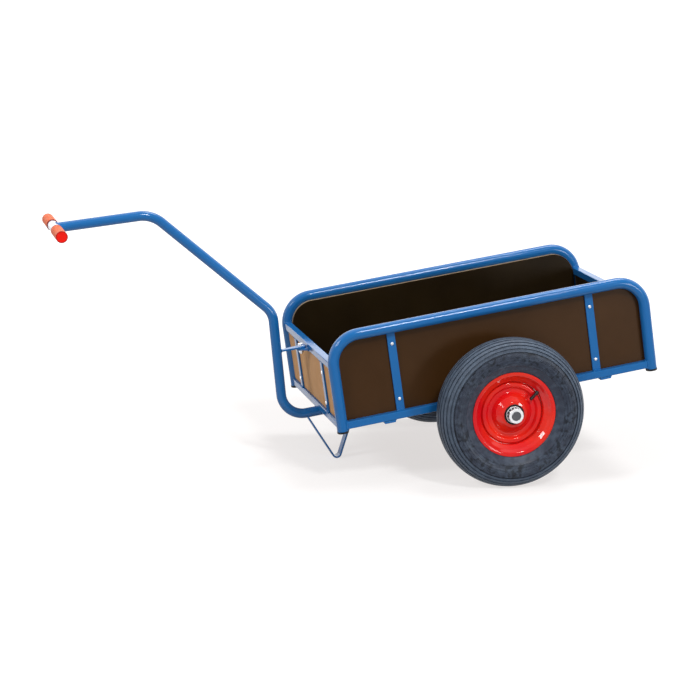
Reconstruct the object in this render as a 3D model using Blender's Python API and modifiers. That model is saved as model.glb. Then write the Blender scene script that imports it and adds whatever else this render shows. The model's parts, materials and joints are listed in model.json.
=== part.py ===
"""Two-wheeled hand cart: a panelled load box in a bent-tube frame, with a drawbar and a park stand.

Metres, +Z up, +X forward (the pulling end), +Y to the cart's left. The cart is modelled level in its
own box frame, whose origin is the middle of the axle, and then parked: pitched nose down until both
tyres and the stand's foot touch the floor. The finished origin is the middle of the footprint box.
"""

import math

import bmesh
import bpy
from mathutils import Matrix, Vector

# Load box
FRONT_POSTS = 0.437           # centre line of the front posts ahead of the axle
REAR_POSTS = 0.4325           # centre line of the rear posts behind the axle
BOX_WIDTH = 0.5605            # between the two side frames' planes
FRAME_TUBE = 0.030            # diameter of the bent side frames
FRAME_HEIGHT = 0.267          # top tube's centre line above the axle line
FRAME_BEND = 0.060            # centre line radius of the frames' top corners
FRAME_FOOT = 0.01665          # lower end of the posts above the axle line
RAIL = 0.020                  # square tube of the bottom rails and end rails
RAIL_CORNER = 0.002           # rounded edge of the square tube
RAIL_LIFT = 0.0203            # underside of the bottom rails above the axle line
END_RAIL_HEIGHT = 0.2036      # top of the end rails above the axle line
CAP_LENGTH = 0.0055           # plastic foot caps under the posts
CAP_LIP = 0.0008              # how far a cap stands out beyond its tube
CAP_CHAMFER = 0.0012

# Panels, floor and the flat bars that hold them
PANEL = 0.009                 # thickness of the side and end panels
END_PANEL_REACH = 0.0027      # outer face of the end panels beyond the posts' centre line
FLOOR_BOARD = 0.012
STRAP_WIDTH = 0.022
STRAP = 0.005                 # thickness of the upright flat bars
FRONT_STRAP = 0.2725          # front side straps ahead of the axle
REAR_STRAP = 0.2802           # rear side straps behind the axle
END_STRAP_REACH = 0.155       # end straps, each way from the cart's centre plane
FRONT_MEMBER = 0.3085         # front cross member ahead of the axle
REAR_MEMBER = 0.298           # rear cross member behind the axle
MEMBER_WIDTH = 0.030
MEMBER = 0.006                # thickness

# Axle and wheels
AXLE = 0.025                  # diameter
AXLE_OVERHANG = 0.0525         # each end beyond the wheel's centre plane
AXLE_CHAMFER = 0.0015
SADDLE_LENGTH = 0.060         # plates between the axle and the side rails
WHEEL_OFFSET = 0.08325        # a wheel's centre plane outboard of its side frame's
TYRE_RADIUS = 0.200
TYRE_WIDTH = 0.100
TREAD_WIDTH = 0.058
CROWN_WIDTH = 0.020           # flat middle of the tread
SHOULDER_DROP = 0.006         # tread's edge below its crown
SIDEWALL_ARC = math.radians(50)
SIDEWALL_POWER = 0.25         # squareness of the sidewall's bulge, exponent(s)
RIM_RADIUS = 0.1145           # top of the rim's flanges
RIM_WIDTH = 0.066             # over both flanges
BEAD_SEAT = 0.100             # radius of the rim's bead seats
RIM_WELL = 0.088              # radius of the drop centre
SEAT_EDGE = 0.020             # where the bead seats end, from the wheel's centre plane
WELL_EDGE = 0.011             # where the drop centre ends, from the wheel's centre plane
RIM_SHEET = 0.0025
HUB_RADIUS = 0.027
HUB_LENGTH = 0.068
HUB_POCKET = 0.023            # radius of the bearing pocket at each hub end
HUB_POCKET_DEPTH = 0.010
DISC_TOP = 0.030              # the wheel disc at the hub, outboard of the centre plane
DISC_SHOULDER_RADIUS = 0.046
DISC_SHOULDER = 0.019         # its dome's shoulder, outboard of the centre plane
DISC_VALLEY_RADIUS = 0.059
DISC_VALLEY = 0.005           # its valley, outboard of the centre plane
DISC_RING_RADIUS = 0.078
DISC_RING = 0.007             # its outer ring, outboard of the centre plane
WASHER_RADIUS = 0.020
WASHER = 0.003
SPACER_RADIUS = 0.0165        # sleeve between the bearing and the washer
COLLAR_LENGTH = 0.010
VALVE = 0.008                 # diameter of the valve stem
VALVE_LENGTH = 0.030
VALVE_ROOT = 0.0872           # its root's distance from the wheel's axis
VALVE_SEAT = 0.0160           # its root's distance outboard of the wheel's centre plane
VALVE_LEAN = math.radians(18) # out of the wheel's plane
VALVE_TURN = math.radians(140.5)

# Drawbar, handle, stay and park stand
DRAWBAR_TUBE = 0.027          # diameter
HANDLE_LEAD = 0.629           # cross bar ahead of the front posts
HANDLE_HEIGHT = 0.6365        # cross bar above the axle line
ELBOW_LEAD = 0.3705           # bend below the handle, ahead of the front posts
ELBOW_HEIGHT = 0.6262
ELBOW_BEND = 0.082
KNEE_LEAD = 0.0878            # bend where the drawbar turns down, ahead of the front posts
KNEE_HEIGHT = 0.302
KNEE_BEND = 0.062
HEEL_LEAD = 0.1015            # bend where it turns under the box, ahead of the front posts
HEEL_BEND = 0.062
HANDLE_LENGTH = 0.306         # cross bar under the grips
GRIP_LENGTH = 0.110
GRIP = 0.0315                 # diameter
GRIP_END = 0.003              # closed end beyond the cross bar
STAY_HEIGHT = 0.193           # middle of the stay's plate
STAY = 0.005                  # thickness of the stay and its lug
STAY_WIDTH = 0.026
STAY_TIP = 0.014              # the stay's width at the drawbar
LUG_WIDTH = 0.058             # the lug's width at the rail
BOLT_LEAD = 0.025             # bolt that joins the stay to the lug, ahead of the front posts
BOLT = 0.008                  # diameter
BOLT_HEAD = 0.0135
BOLT_HEAD_HEIGHT = 0.007
STAND_WIDTH = 0.028
STAND = 0.005                 # thickness of the stand's flat bar
APEX_LAG = 0.029              # where its legs would cross, behind the front posts
STAND_DEPTH = 0.147           # where its legs would cross, below the axle line
LEG_LEAD = 0.034              # where its front leg meets the drawbar, ahead of the front posts
TURN_LEAD = 0.0225            # where its rear leg turns, ahead of the front cross member
STAND_BEND = 0.011            # centre line radius of its foot
STAND_TURN = 0.007            # centre line radius of its upper bend
LEG_CLIMB = 0.60              # how far up the drawbar's flank the front leg reaches, share(s) of the radius

# Fits
GAP = 0.0003                  # between touching pieces
WELD_MERGE = 0.00001          # vertices nearer than this are one
BEARING_PLAY = 0.0006         # between the wheel's bearings and the axle
CUTTER_REACH = 0.050          # how far a cutter runs past what it cuts

# Facets
TUBE_RESOLUTION = 4
BEND_STEPS = 8
WHEEL_SEGMENTS = 48
SMALL_SEGMENTS = 24
EDGE_SEGMENTS = 2
SMOOTH_ANGLE = math.radians(35)
QUARTER = math.pi / 2

BLUE = (0.018, 0.110, 0.330, 1.0)
RED = (0.720, 0.018, 0.010, 1.0)
ORANGE_RED = (0.850, 0.120, 0.045, 1.0)
BROWN = (0.045, 0.026, 0.016, 1.0)
TYRE_GREY = (0.030, 0.034, 0.042, 1.0)
BLACK = (0.008, 0.008, 0.009, 1.0)
ZINC = (0.620, 0.630, 0.650, 1.0)
STEEL = (0.300, 0.300, 0.310, 1.0)

TRACK = BOX_WIDTH + 2 * WHEEL_OFFSET
AXLE_LENGTH = TRACK + 2 * AXLE_OVERHANG
HANDLE_REACH = FRONT_POSTS + HANDLE_LEAD
ELBOW_REACH = FRONT_POSTS + ELBOW_LEAD
KNEE_REACH = FRONT_POSTS + KNEE_LEAD
HEEL_REACH = FRONT_POSTS + HEEL_LEAD
BOLT_REACH = FRONT_POSTS + BOLT_LEAD
STAND_APEX = FRONT_POSTS - APEX_LAG
STAND_FRONT = FRONT_POSTS + LEG_LEAD
STAND_REAR = FRONT_MEMBER + TURN_LEAD
BOX_LENGTH = FRONT_POSTS + REAR_POSTS
BOX_MIDDLE = (FRONT_POSTS - REAR_POSTS) / 2
HALF_WIDTH = BOX_WIDTH / 2
FRAME_RADIUS = FRAME_TUBE / 2
DRAWBAR_RADIUS = DRAWBAR_TUBE / 2
AXLE_RADIUS = AXLE / 2
RAIL_TOP = RAIL_LIFT + RAIL
END_RAIL_FOOT = END_RAIL_HEIGHT - RAIL
SIDE_FACE = HALF_WIDTH - RAIL / 2 - GAP
DRAWBAR_HEIGHT = RAIL_LIFT - GAP - DRAWBAR_RADIUS
MEMBER_FOOT = RAIL_LIFT - GAP - MEMBER

SIDES = (("left", 1), ("right", -1))
ENDS = (("front", 1, FRONT_POSTS), ("rear", -1, -REAR_POSTS))


def clear_scene():
    """Removes every object of the scene that the file opened with."""
    for item in list(bpy.data.objects):
        bpy.data.objects.remove(item, do_unlink=True)


def new_collection(name):
    collection = bpy.data.collections.new(name)
    bpy.context.scene.collection.children.link(collection)
    return collection


def new_material(name, colour, roughness, metallic):
    material = bpy.data.materials.new(name)
    material.use_nodes = True
    shader = material.node_tree.nodes["Principled BSDF"]
    shader.inputs["Base Color"].default_value = colour
    shader.inputs["Roughness"].default_value = roughness
    shader.inputs["Metallic"].default_value = metallic
    material.diffuse_color = colour
    return material


clear_scene()
CART = new_collection("hand_cart")
CUTTERS = new_collection("cutters")


def new_empty(name, parent, location, pitch):
    empty = bpy.data.objects.new(name, None)
    empty.location = location
    empty.rotation_euler = (0, pitch, 0)
    empty.parent = parent
    CART.objects.link(empty)
    return empty


def place(name, mesh, material, parent, location=(0, 0, 0), rotation=(0, 0, 0)):
    """Makes one sub-part of a mesh, with its finish, its place and what carries it."""
    item = bpy.data.objects.new(name, mesh)
    item.data.materials.append(material)
    item.location = location
    item.rotation_euler = rotation
    item.parent = parent
    CART.objects.link(item)
    return item


def smooth(mesh):
    mesh.shade_smooth()
    mesh.set_sharp_from_angle(angle=SMOOTH_ANGLE)
    return mesh


def box_mesh(name, size):
    shape = bmesh.new()
    bmesh.ops.create_cube(shape, size=1.0, matrix=Matrix.Diagonal((*size, 1.0)))
    mesh = bpy.data.meshes.new(name)
    shape.to_mesh(mesh)
    shape.free()
    return mesh


def cylinder_mesh(name, radius, length, segments):
    """A closed cylinder along its own Z."""
    shape = bmesh.new()
    bmesh.ops.create_cone(shape, cap_ends=True, segments=segments, radius1=radius, radius2=radius,
                          depth=length)
    mesh = bpy.data.meshes.new(name)
    shape.to_mesh(mesh)
    shape.free()
    return smooth(mesh)


def curve_mesh(curve):
    """Turns a curve into a mesh whose caps are welded to its sides."""
    holder = bpy.data.objects.new(curve.name, curve)
    bpy.context.scene.collection.objects.link(holder)
    bpy.context.view_layer.update()
    shown = holder.evaluated_get(bpy.context.evaluated_depsgraph_get())
    mesh = bpy.data.meshes.new_from_object(shown)
    bpy.data.objects.remove(holder, do_unlink=True)
    bpy.data.curves.remove(curve)
    shape = bmesh.new()
    shape.from_mesh(mesh)
    bmesh.ops.remove_doubles(shape, verts=shape.verts, dist=WELD_MERGE)
    bmesh.ops.recalc_face_normals(shape, faces=shape.faces)
    shape.to_mesh(mesh)
    shape.free()
    return smooth(mesh)


def tube_mesh(name, path, diameter):
    """A round bar along a path of points, with filled ends."""
    curve = bpy.data.curves.new(name, "CURVE")
    curve.dimensions = "3D"
    curve.bevel_depth = diameter / 2
    curve.bevel_resolution = TUBE_RESOLUTION
    curve.use_fill_caps = True
    spline = curve.splines.new("POLY")
    spline.points.add(len(path) - 1)
    for point, where in zip(spline.points, path):
        point.co = (*where, 1.0)
    return curve_mesh(curve)


def plate_mesh(name, outline, thickness):
    """A flat plate in its own XY plane, its thickness shared to both sides."""
    curve = bpy.data.curves.new(name, "CURVE")
    curve.dimensions = "2D"
    curve.fill_mode = "BOTH"
    curve.extrude = thickness / 2
    spline = curve.splines.new("POLY")
    spline.points.add(len(outline) - 1)
    for point, where in zip(spline.points, outline):
        point.co = (where[0], where[1], 0.0, 1.0)
    spline.use_cyclic_u = True
    return curve_mesh(curve)


def turned(name, profile, segments, material, parent, location=(0, 0, 0), rotation=(0, 0, 0)):
    """A sub-part turned round its own Z from (radius, height) points that run down its outer side."""
    mesh = bpy.data.meshes.new(name)
    points = [(radius, 0.0, height) for radius, height in profile]
    edges = [(index, (index + 1) % len(points)) for index in range(len(points))]
    mesh.from_pydata(points, edges, [])
    item = place(name, mesh, material, parent, location, rotation)
    screw = item.modifiers.new("turned", "SCREW")
    screw.axis = "Z"
    screw.steps = segments
    screw.render_steps = segments
    screw.use_merge_vertices = True
    screw.merge_threshold = WELD_MERGE
    screw.use_smooth_shade = True
    return item


def ring_profile(inner, outer, bottom, top):
    return [(inner, top), (outer, top), (outer, bottom), (inner, bottom)]


def rounded(points, radii, steps):
    """Replaces each inner corner of a 2D path with an arc of its radius."""
    path = [Vector(points[0])]
    for before, corner, after, radius in zip(points, points[1:], points[2:], radii):
        corner = Vector(corner)
        way_in = (Vector(before) - corner).normalized()
        way_out = (Vector(after) - corner).normalized()
        half = way_in.angle(way_out) / 2
        bisector = (way_in + way_out).normalized()
        centre = corner + bisector * (radius / math.sin(half))
        start = corner + way_in * (radius / math.tan(half)) - centre
        end = corner + way_out * (radius / math.tan(half)) - centre
        sweep = start.angle_signed(end)
        for step in range(steps + 1):
            spoke = start.copy()
            spoke.rotate(Matrix.Rotation(-sweep * step / steps, 2))
            path.append(centre + spoke)
    path.append(Vector(points[-1]))
    return path


def band(path, thickness):
    """Outline of a strip of even thickness that follows a 2D path, mitred at its corners."""
    half = thickness / 2
    upper = []
    lower = []
    for index, point in enumerate(path):
        way_in = (point - path[max(index, 1) - 1]).normalized()
        way_out = (path[min(index, len(path) - 2) + 1] - point).normalized()
        if index == 0:
            way_in = way_out
        if index == len(path) - 1:
            way_out = way_in
        along = (way_in + way_out).normalized()
        across = Vector((-along[1], along[0])) * (half / along.dot(way_out))
        upper.append(point + across)
        lower.append(point - across)
    return upper + lower[::-1]


def arc(centre_x, radius, start, sweep, steps):
    """Points between the ends of an arc round (centre_x, 0), the ends left out."""
    angles = [start + sweep * step / steps for step in range(1, steps)]
    return [(centre_x + radius * math.cos(angle), radius * math.sin(angle)) for angle in angles]


def upright(path):
    """Lays a path of (reach, height) points in the cart's centre plane."""
    return [(point[0], 0.0, point[1]) for point in path]


def cut(item, cutter):
    modifier = item.modifiers.new(cutter.name, "BOOLEAN")
    modifier.operation = "DIFFERENCE"
    modifier.solver = "EXACT"
    modifier.object = cutter
    return item


def new_cutter(name, parent, meshes):
    """One cutter made of closed meshes that don't meet, each given with its placing matrix."""
    shape = bmesh.new()
    for mesh, matrix in meshes:
        start = len(shape.verts)
        shape.from_mesh(mesh)
        shape.verts.ensure_lookup_table()
        bmesh.ops.transform(shape, matrix=matrix, verts=shape.verts[start:])
        bpy.data.meshes.remove(mesh)
    joined = bpy.data.meshes.new(name)
    shape.to_mesh(joined)
    shape.free()
    cutter = bpy.data.objects.new(name, joined)
    cutter.parent = parent
    cutter.hide_render = True
    cutter.display_type = "WIRE"
    CUTTERS.objects.link(cutter)
    return cutter


def round_edges(item):
    bevel = item.modifiers.new("rounded edges", "BEVEL")
    bevel.width = RAIL_CORNER
    bevel.segments = EDGE_SEGMENTS
    bevel.limit_method = "ANGLE"
    return item


def stand_path():
    """The stand's centre line: up the drawbar's flank, down to the foot, back up and under the member."""
    apex = Vector((STAND_APEX, -STAND_DEPTH))
    meet = Vector((STAND_FRONT, DRAWBAR_HEIGHT - DRAWBAR_RADIUS))
    top = DRAWBAR_HEIGHT - LEG_CLIMB * DRAWBAR_RADIUS
    front = apex + (meet - apex) * (top - apex[1]) / (meet[1] - apex[1])
    flat = MEMBER_FOOT - GAP - STAND / 2
    rear = Vector((STAND_REAR, flat))
    end = Vector((FRONT_MEMBER - MEMBER_WIDTH / 2, flat))
    return [front, apex, rear, end]


def parking_pitch():
    """Nose-down pitch at which the tyres and the stand's foot touch one floor."""
    front, apex, rear = stand_path()[:3]
    way_front = (front - apex).normalized()
    way_rear = (rear - apex).normalized()
    half = way_front.angle(way_rear) / 2
    centre = apex + (way_front + way_rear).normalized() * (STAND_BEND / math.sin(half))
    reach = math.hypot(centre[0], centre[1])
    outer_bend = STAND_BEND + STAND / 2
    return math.asin((TYRE_RADIUS - outer_bend) / reach) - math.atan2(-centre[1], centre[0])


PITCH = parking_pitch()

paint = new_material("blue enamel", BLUE, 0.25, 0.0)
panel_film = new_material("brown filmed plywood", BROWN, 0.45, 0.0)
black_plastic = new_material("black plastic", BLACK, 0.5, 0.0)
rim_paint = new_material("red enamel", RED, 0.2, 0.0)
tyre_rubber = new_material("tyre rubber", TYRE_GREY, 0.8, 0.0)
grip_plastic = new_material("orange-red grip plastic", ORANGE_RED, 0.4, 0.0)
zinc = new_material("zinc-plated steel", ZINC, 0.35, 1.0)
axle_steel = new_material("plain steel", STEEL, 0.45, 1.0)

cart = new_empty("cart", None, (0, 0, 0), 0)
box = new_empty("box", cart, (0, 0, TYRE_RADIUS), PITCH)


def build_cutters():
    """Round clearances that cope the rails, the panels, the drawbar and the stand."""
    height = FRAME_HEIGHT + CUTTER_REACH
    posts = []
    for _, side in SIDES:
        for _, _, reach in ENDS:
            place_of_post = Matrix.Translation((reach, side * HALF_WIDTH, height / 2))
            post = cylinder_mesh("post", FRAME_RADIUS + GAP, height + CUTTER_REACH, SMALL_SEGMENTS)
            posts.append((post, place_of_post))
    post_cutter = new_cutter("post_clearance", box, posts)

    bar = cylinder_mesh("bar", DRAWBAR_RADIUS + GAP, HANDLE_LENGTH, SMALL_SEGMENTS)
    along_y = Matrix.Translation((HANDLE_REACH, 0, HANDLE_HEIGHT)) @ Matrix.Rotation(QUARTER, 4, "X")
    handle_cutter = new_cutter("handle_clearance", box, [(bar, along_y)])

    run = cylinder_mesh("run", DRAWBAR_RADIUS + GAP, 2 * CUTTER_REACH, SMALL_SEGMENTS)
    along_x = Matrix.Translation((STAND_FRONT, 0, DRAWBAR_HEIGHT)) @ Matrix.Rotation(QUARTER, 4, "Y")
    run_cutter = new_cutter("drawbar_clearance", box, [(run, along_x)])

    rails = []
    for _, side in SIDES:
        rail = box_mesh("rail", (BOX_LENGTH + RAIL, RAIL + 2 * GAP, RAIL + CUTTER_REACH))
        rails.append((rail, Matrix.Translation((BOX_MIDDLE, side * HALF_WIDTH, RAIL_LIFT + RAIL / 2))))
    rail_cutter = new_cutter("side_rail_clearance", box, rails)
    return post_cutter, handle_cutter, run_cutter, rail_cutter


POST_CUTTER, HANDLE_CUTTER, RUN_CUTTER, RAIL_CUTTER = build_cutters()


def build_side_frame(side_name, side):
    """One bent tube: two posts joined by a top tube, with a plastic cap under each post."""
    corners = [(FRONT_POSTS, FRAME_FOOT), (FRONT_POSTS, FRAME_HEIGHT), (-REAR_POSTS, FRAME_HEIGHT),
               (-REAR_POSTS, FRAME_FOOT)]
    path = upright(rounded(corners, (FRAME_BEND, FRAME_BEND), BEND_STEPS))
    plane = side * HALF_WIDTH
    place(f"{side_name}_side_frame", tube_mesh("side_frame", path, FRAME_TUBE), paint, box, (0, plane, 0))
    lip = FRAME_RADIUS + CAP_LIP
    top = FRAME_FOOT - GAP
    foot = top - CAP_LENGTH
    profile = [(0.0, top), (lip, top), (lip, foot + CAP_CHAMFER), (lip - CAP_CHAMFER, foot), (0.0, foot)]
    for end_name, _, reach in ENDS:
        turned(f"{side_name}_{end_name}_post_cap", profile, SMALL_SEGMENTS, black_plastic, box,
               (reach, plane, 0))


def build_side_rail(side_name, side):
    """Square bottom rail between the posts, its ends coped round them."""
    rail = place(f"{side_name}_bottom_rail", box_mesh("bottom_rail", (BOX_LENGTH, RAIL, RAIL)), paint, box,
                 (BOX_MIDDLE, side * HALF_WIDTH, RAIL_LIFT + RAIL / 2))
    round_edges(rail)
    cut(rail, POST_CUTTER)


def build_end_rail(end_name, reach, level_name, underside, cutters):
    """Square rail across the cart between the posts, its ends coped round what they meet."""
    rail = place(f"{end_name}_{level_name}_rail", box_mesh("end_rail", (RAIL, BOX_WIDTH, RAIL)), paint, box,
                 (reach, 0, underside + RAIL / 2))
    round_edges(rail)
    for cutter in cutters:
        cut(rail, cutter)


def build_side_straps(side_name, side):
    """Two upright flat bars outside the panel, between the bottom rail and the top tube."""
    inner = SIDE_FACE + GAP
    outer_offset = HALF_WIDTH - (inner + STRAP)
    tube_drop = math.sqrt((FRAME_RADIUS + GAP) ** 2 - outer_offset ** 2)
    top = FRAME_HEIGHT - tube_drop
    bottom = RAIL_TOP + GAP
    for end_name, reach in (("front", FRONT_STRAP), ("rear", -REAR_STRAP)):
        size = (STRAP_WIDTH, STRAP, top - bottom)
        place(f"{side_name}_{end_name}_strap", box_mesh("side_strap", size), paint, box,
              (reach, side * (inner + STRAP / 2), (top + bottom) / 2))


def build_side_panel(side_name, side):
    """Plywood panel against the side rail and the straps, clear of the bent tube and the end rails."""
    tube_inset = math.sqrt((FRAME_RADIUS + GAP) ** 2 - (HALF_WIDTH - SIDE_FACE) ** 2) + GAP
    inset = max(tube_inset, RAIL / 2 + GAP)
    front = FRONT_POSTS - inset
    rear = inset - REAR_POSTS
    top = FRAME_HEIGHT - inset
    corner = FRAME_BEND - inset
    corners = [(front, RAIL_LIFT), (front, top), (rear, top), (rear, RAIL_LIFT)]
    outline = rounded(corners, (corner, corner), BEND_STEPS)
    place(f"{side_name}_side_panel", plate_mesh("side_panel", outline, PANEL), panel_film, box,
          (0, side * (SIDE_FACE - PANEL / 2), 0), (QUARTER, 0, 0))


def build_end_panel(end_name, end, reach):
    """Plywood panel between an end's two rails and its two posts, with two flat bars outside it."""
    bottom = RAIL_TOP + GAP
    top = END_RAIL_FOOT - GAP
    middle = (top + bottom) / 2
    width = BOX_WIDTH - FRAME_TUBE
    face = reach + end * END_PANEL_REACH
    panel = place(f"{end_name}_end_panel", box_mesh("end_panel", (PANEL, width, top - bottom)), panel_film,
                  box, (face - end * PANEL / 2, 0, middle))
    cut(panel, POST_CUTTER)
    for side_name, side in SIDES:
        size = (STRAP, STRAP_WIDTH, top - bottom)
        place(f"{end_name}_{side_name}_end_strap", box_mesh("end_strap", size), paint, box,
              (face + end * (GAP + STRAP / 2), side * END_STRAP_REACH, middle))


def build_floor():
    """Floor board between the panels and the end rails, on two flat cross members under the rails."""
    length = BOX_LENGTH - RAIL - 2 * GAP
    width = 2 * (SIDE_FACE - PANEL - GAP)
    place("floor_board", box_mesh("floor_board", (length, width, FLOOR_BOARD)), panel_film, box,
          (BOX_MIDDLE, 0, RAIL_LIFT + FLOOR_BOARD / 2))
    size = (MEMBER_WIDTH, BOX_WIDTH + RAIL, MEMBER)
    for end_name, reach in (("front", FRONT_MEMBER), ("rear", -REAR_MEMBER)):
        place(f"{end_name}_cross_member", box_mesh("cross_member", size), paint, box,
              (reach, 0, MEMBER_FOOT + MEMBER / 2))


def build_axle():
    """Solid round axle with chamfered ends, carried under the side rails by two saddle plates."""
    half = AXLE_LENGTH / 2
    inner = AXLE_RADIUS - AXLE_CHAMFER
    profile = [(0.0, half), (inner, half), (AXLE_RADIUS, half - AXLE_CHAMFER),
               (AXLE_RADIUS, AXLE_CHAMFER - half), (inner, -half), (0.0, -half)]
    turned("axle", profile, SMALL_SEGMENTS, axle_steel, box, (0, 0, 0), (QUARTER, 0, 0))
    top = RAIL_LIFT - GAP
    bottom = AXLE_RADIUS + GAP
    for side_name, side in SIDES:
        place(f"{side_name}_axle_saddle", box_mesh("axle_saddle", (SADDLE_LENGTH, RAIL, top - bottom)),
              paint, box, (0, side * HALF_WIDTH, (top + bottom) / 2))


def tyre_profile():
    """Section of the tyre: bead, bulging sidewall, shoulder and crowned tread, then back inside."""
    half = TYRE_WIDTH / 2
    bead = RIM_WIDTH / 2 - RIM_SHEET - GAP
    flange = RIM_WIDTH / 2
    lip = RIM_RADIUS + GAP
    shoulder = TYRE_RADIUS - SHOULDER_DROP
    centre = (shoulder + lip) / 2
    tall = (shoulder - lip) / 2
    side = [(BEAD_SEAT + GAP, bead), (lip, bead), (lip, flange)]
    for step in range(-2, 3):
        angle = SIDEWALL_ARC * step / 2
        side.append((centre + tall * math.sin(angle), half * math.cos(angle) ** SIDEWALL_POWER))
    side.append((shoulder, TREAD_WIDTH / 2))
    side.append((TYRE_RADIUS, CROWN_WIDTH / 2))
    lower = [(radius, -height) for radius, height in reversed(side)]
    return side + lower


def rim_profile():
    """Section of the rolled rim: flanges, bead seats and drop centre, one sheet all through."""
    half = RIM_WIDTH / 2 - RIM_SHEET / 2
    lower = RIM_SHEET / 2
    side = [(RIM_RADIUS, half), (BEAD_SEAT - lower, half), (BEAD_SEAT - lower, SEAT_EDGE),
            (RIM_WELL - lower, WELL_EDGE)]
    other = [(radius, -height) for radius, height in reversed(side)]
    return band([Vector(point) for point in side + other], RIM_SHEET)


def disc_profile():
    """Section of the pressed wheel disc: a dome round the hub, a valley and a ring inside the rim."""
    hub = HUB_RADIUS + GAP
    edge = RIM_WELL - RIM_SHEET - GAP
    path = [(hub, DISC_TOP), (DISC_SHOULDER_RADIUS, DISC_SHOULDER), (DISC_VALLEY_RADIUS, DISC_VALLEY),
            (DISC_RING_RADIUS, DISC_RING), (edge, DISC_VALLEY)]
    outline = band([Vector(point) for point in path], RIM_SHEET)
    outline[0][0] = outline[-1][0] = hub
    middle = len(path)
    outline[middle - 1][0] = outline[middle][0] = edge
    return outline


def hub_profile():
    """Section of the hub tube, with a bearing pocket turned into each end."""
    half = HUB_LENGTH / 2
    bore = AXLE_RADIUS + BEARING_PLAY
    shelf = half - HUB_POCKET_DEPTH
    return [(HUB_POCKET, half), (HUB_RADIUS, half), (HUB_RADIUS, -half), (HUB_POCKET, -half),
            (HUB_POCKET, -shelf), (bore, -shelf), (bore, shelf), (HUB_POCKET, shelf)]


def build_wheel(side_name, side):
    """Pneumatic wheel on its own axis, with what keeps it on the axle."""
    wheel = new_empty(f"{side_name}_wheel_axis", box, (0, side * TRACK / 2, 0), -PITCH)
    outward = (-side * QUARTER, 0, 0)
    here = (0, 0, 0)
    turned(f"{side_name}_tyre", tyre_profile(), WHEEL_SEGMENTS, tyre_rubber, wheel, here, outward)
    turned(f"{side_name}_rim", rim_profile(), WHEEL_SEGMENTS, rim_paint, wheel, here, outward)
    turned(f"{side_name}_wheel_disc", disc_profile(), WHEEL_SEGMENTS, rim_paint, wheel, here, outward)
    turned(f"{side_name}_hub", hub_profile(), SMALL_SEGMENTS, black_plastic, wheel, here, outward)

    inner = AXLE_RADIUS + GAP
    hub_end = (TRACK + HUB_LENGTH) / 2 + GAP
    washer_face = AXLE_LENGTH / 2 - AXLE_CHAMFER - WASHER
    spacer = ring_profile(inner, SPACER_RADIUS, hub_end, washer_face - GAP)
    turned(f"{side_name}_axle_spacer", spacer, SMALL_SEGMENTS, zinc, box, here, outward)
    washer = ring_profile(inner, WASHER_RADIUS, washer_face, washer_face + WASHER)
    turned(f"{side_name}_axle_washer", washer, SMALL_SEGMENTS, zinc, box, here, outward)
    collar_face = (TRACK - HUB_LENGTH) / 2 - GAP
    collar = ring_profile(inner, WASHER_RADIUS, collar_face - COLLAR_LENGTH, collar_face)
    turned(f"{side_name}_axle_collar", collar, SMALL_SEGMENTS, zinc, box, here, outward)
    return wheel


def build_valve(side_name, wheel, side):
    """Valve stem leaning out of the rim's well towards the wheel's axis."""
    stem = cylinder_mesh("valve", VALVE / 2, VALVE_LENGTH, SMALL_SEGMENTS // 2)
    inward = Vector((-math.cos(VALVE_LEAN), math.sin(VALVE_LEAN)))
    middle = Vector((VALVE_ROOT, VALVE_SEAT)) + inward * (VALVE_LENGTH / 2)
    turn_x = math.cos(VALVE_TURN)
    turn_z = math.sin(VALVE_TURN)
    location = Vector((middle[0] * turn_x, side * middle[1], middle[0] * turn_z))
    direction = Vector((inward[0] * turn_x, side * inward[1], inward[0] * turn_z))
    rotation = direction.to_track_quat("Z", "Y").to_euler()
    place(f"{side_name}_valve", stem, black_plastic, wheel, location, rotation)


def drawbar_path():
    """The drawbar's centre line, from the handle back to the front bottom rail."""
    front = (HANDLE_REACH, HANDLE_HEIGHT)
    elbow = (ELBOW_REACH, ELBOW_HEIGHT)
    knee = (KNEE_REACH, KNEE_HEIGHT)
    heel = (HEEL_REACH, DRAWBAR_HEIGHT)
    tail = (FRONT_POSTS - RAIL / 2, DRAWBAR_HEIGHT)
    return rounded([front, elbow, knee, heel, tail], (ELBOW_BEND, KNEE_BEND, HEEL_BEND), BEND_STEPS)


def build_drawbar():
    """Bent drawbar with the cross bar and its two grips."""
    drawbar = place("drawbar", tube_mesh("drawbar", upright(drawbar_path()), DRAWBAR_TUBE), paint, box)
    cut(drawbar, HANDLE_CUTTER)
    place("handle_bar", cylinder_mesh("handle_bar", DRAWBAR_RADIUS, HANDLE_LENGTH, SMALL_SEGMENTS), paint,
          box, (HANDLE_REACH, 0, HANDLE_HEIGHT), (QUARTER, 0, 0))
    end = HANDLE_LENGTH / 2 + GAP
    tip = end + GRIP_END
    start = tip - GRIP_LENGTH
    bore = DRAWBAR_RADIUS + GAP
    radius = GRIP / 2
    profile = [(0.0, tip), (radius - CAP_CHAMFER, tip), (radius, tip - CAP_CHAMFER), (radius, start),
               (bore, start), (bore, end), (0.0, end)]
    for side_name, side in SIDES:
        turned(f"{side_name}_grip", profile, SMALL_SEGMENTS, grip_plastic, box,
               (HANDLE_REACH, 0, HANDLE_HEIGHT), (-side * QUARTER, 0, 0))


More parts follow.
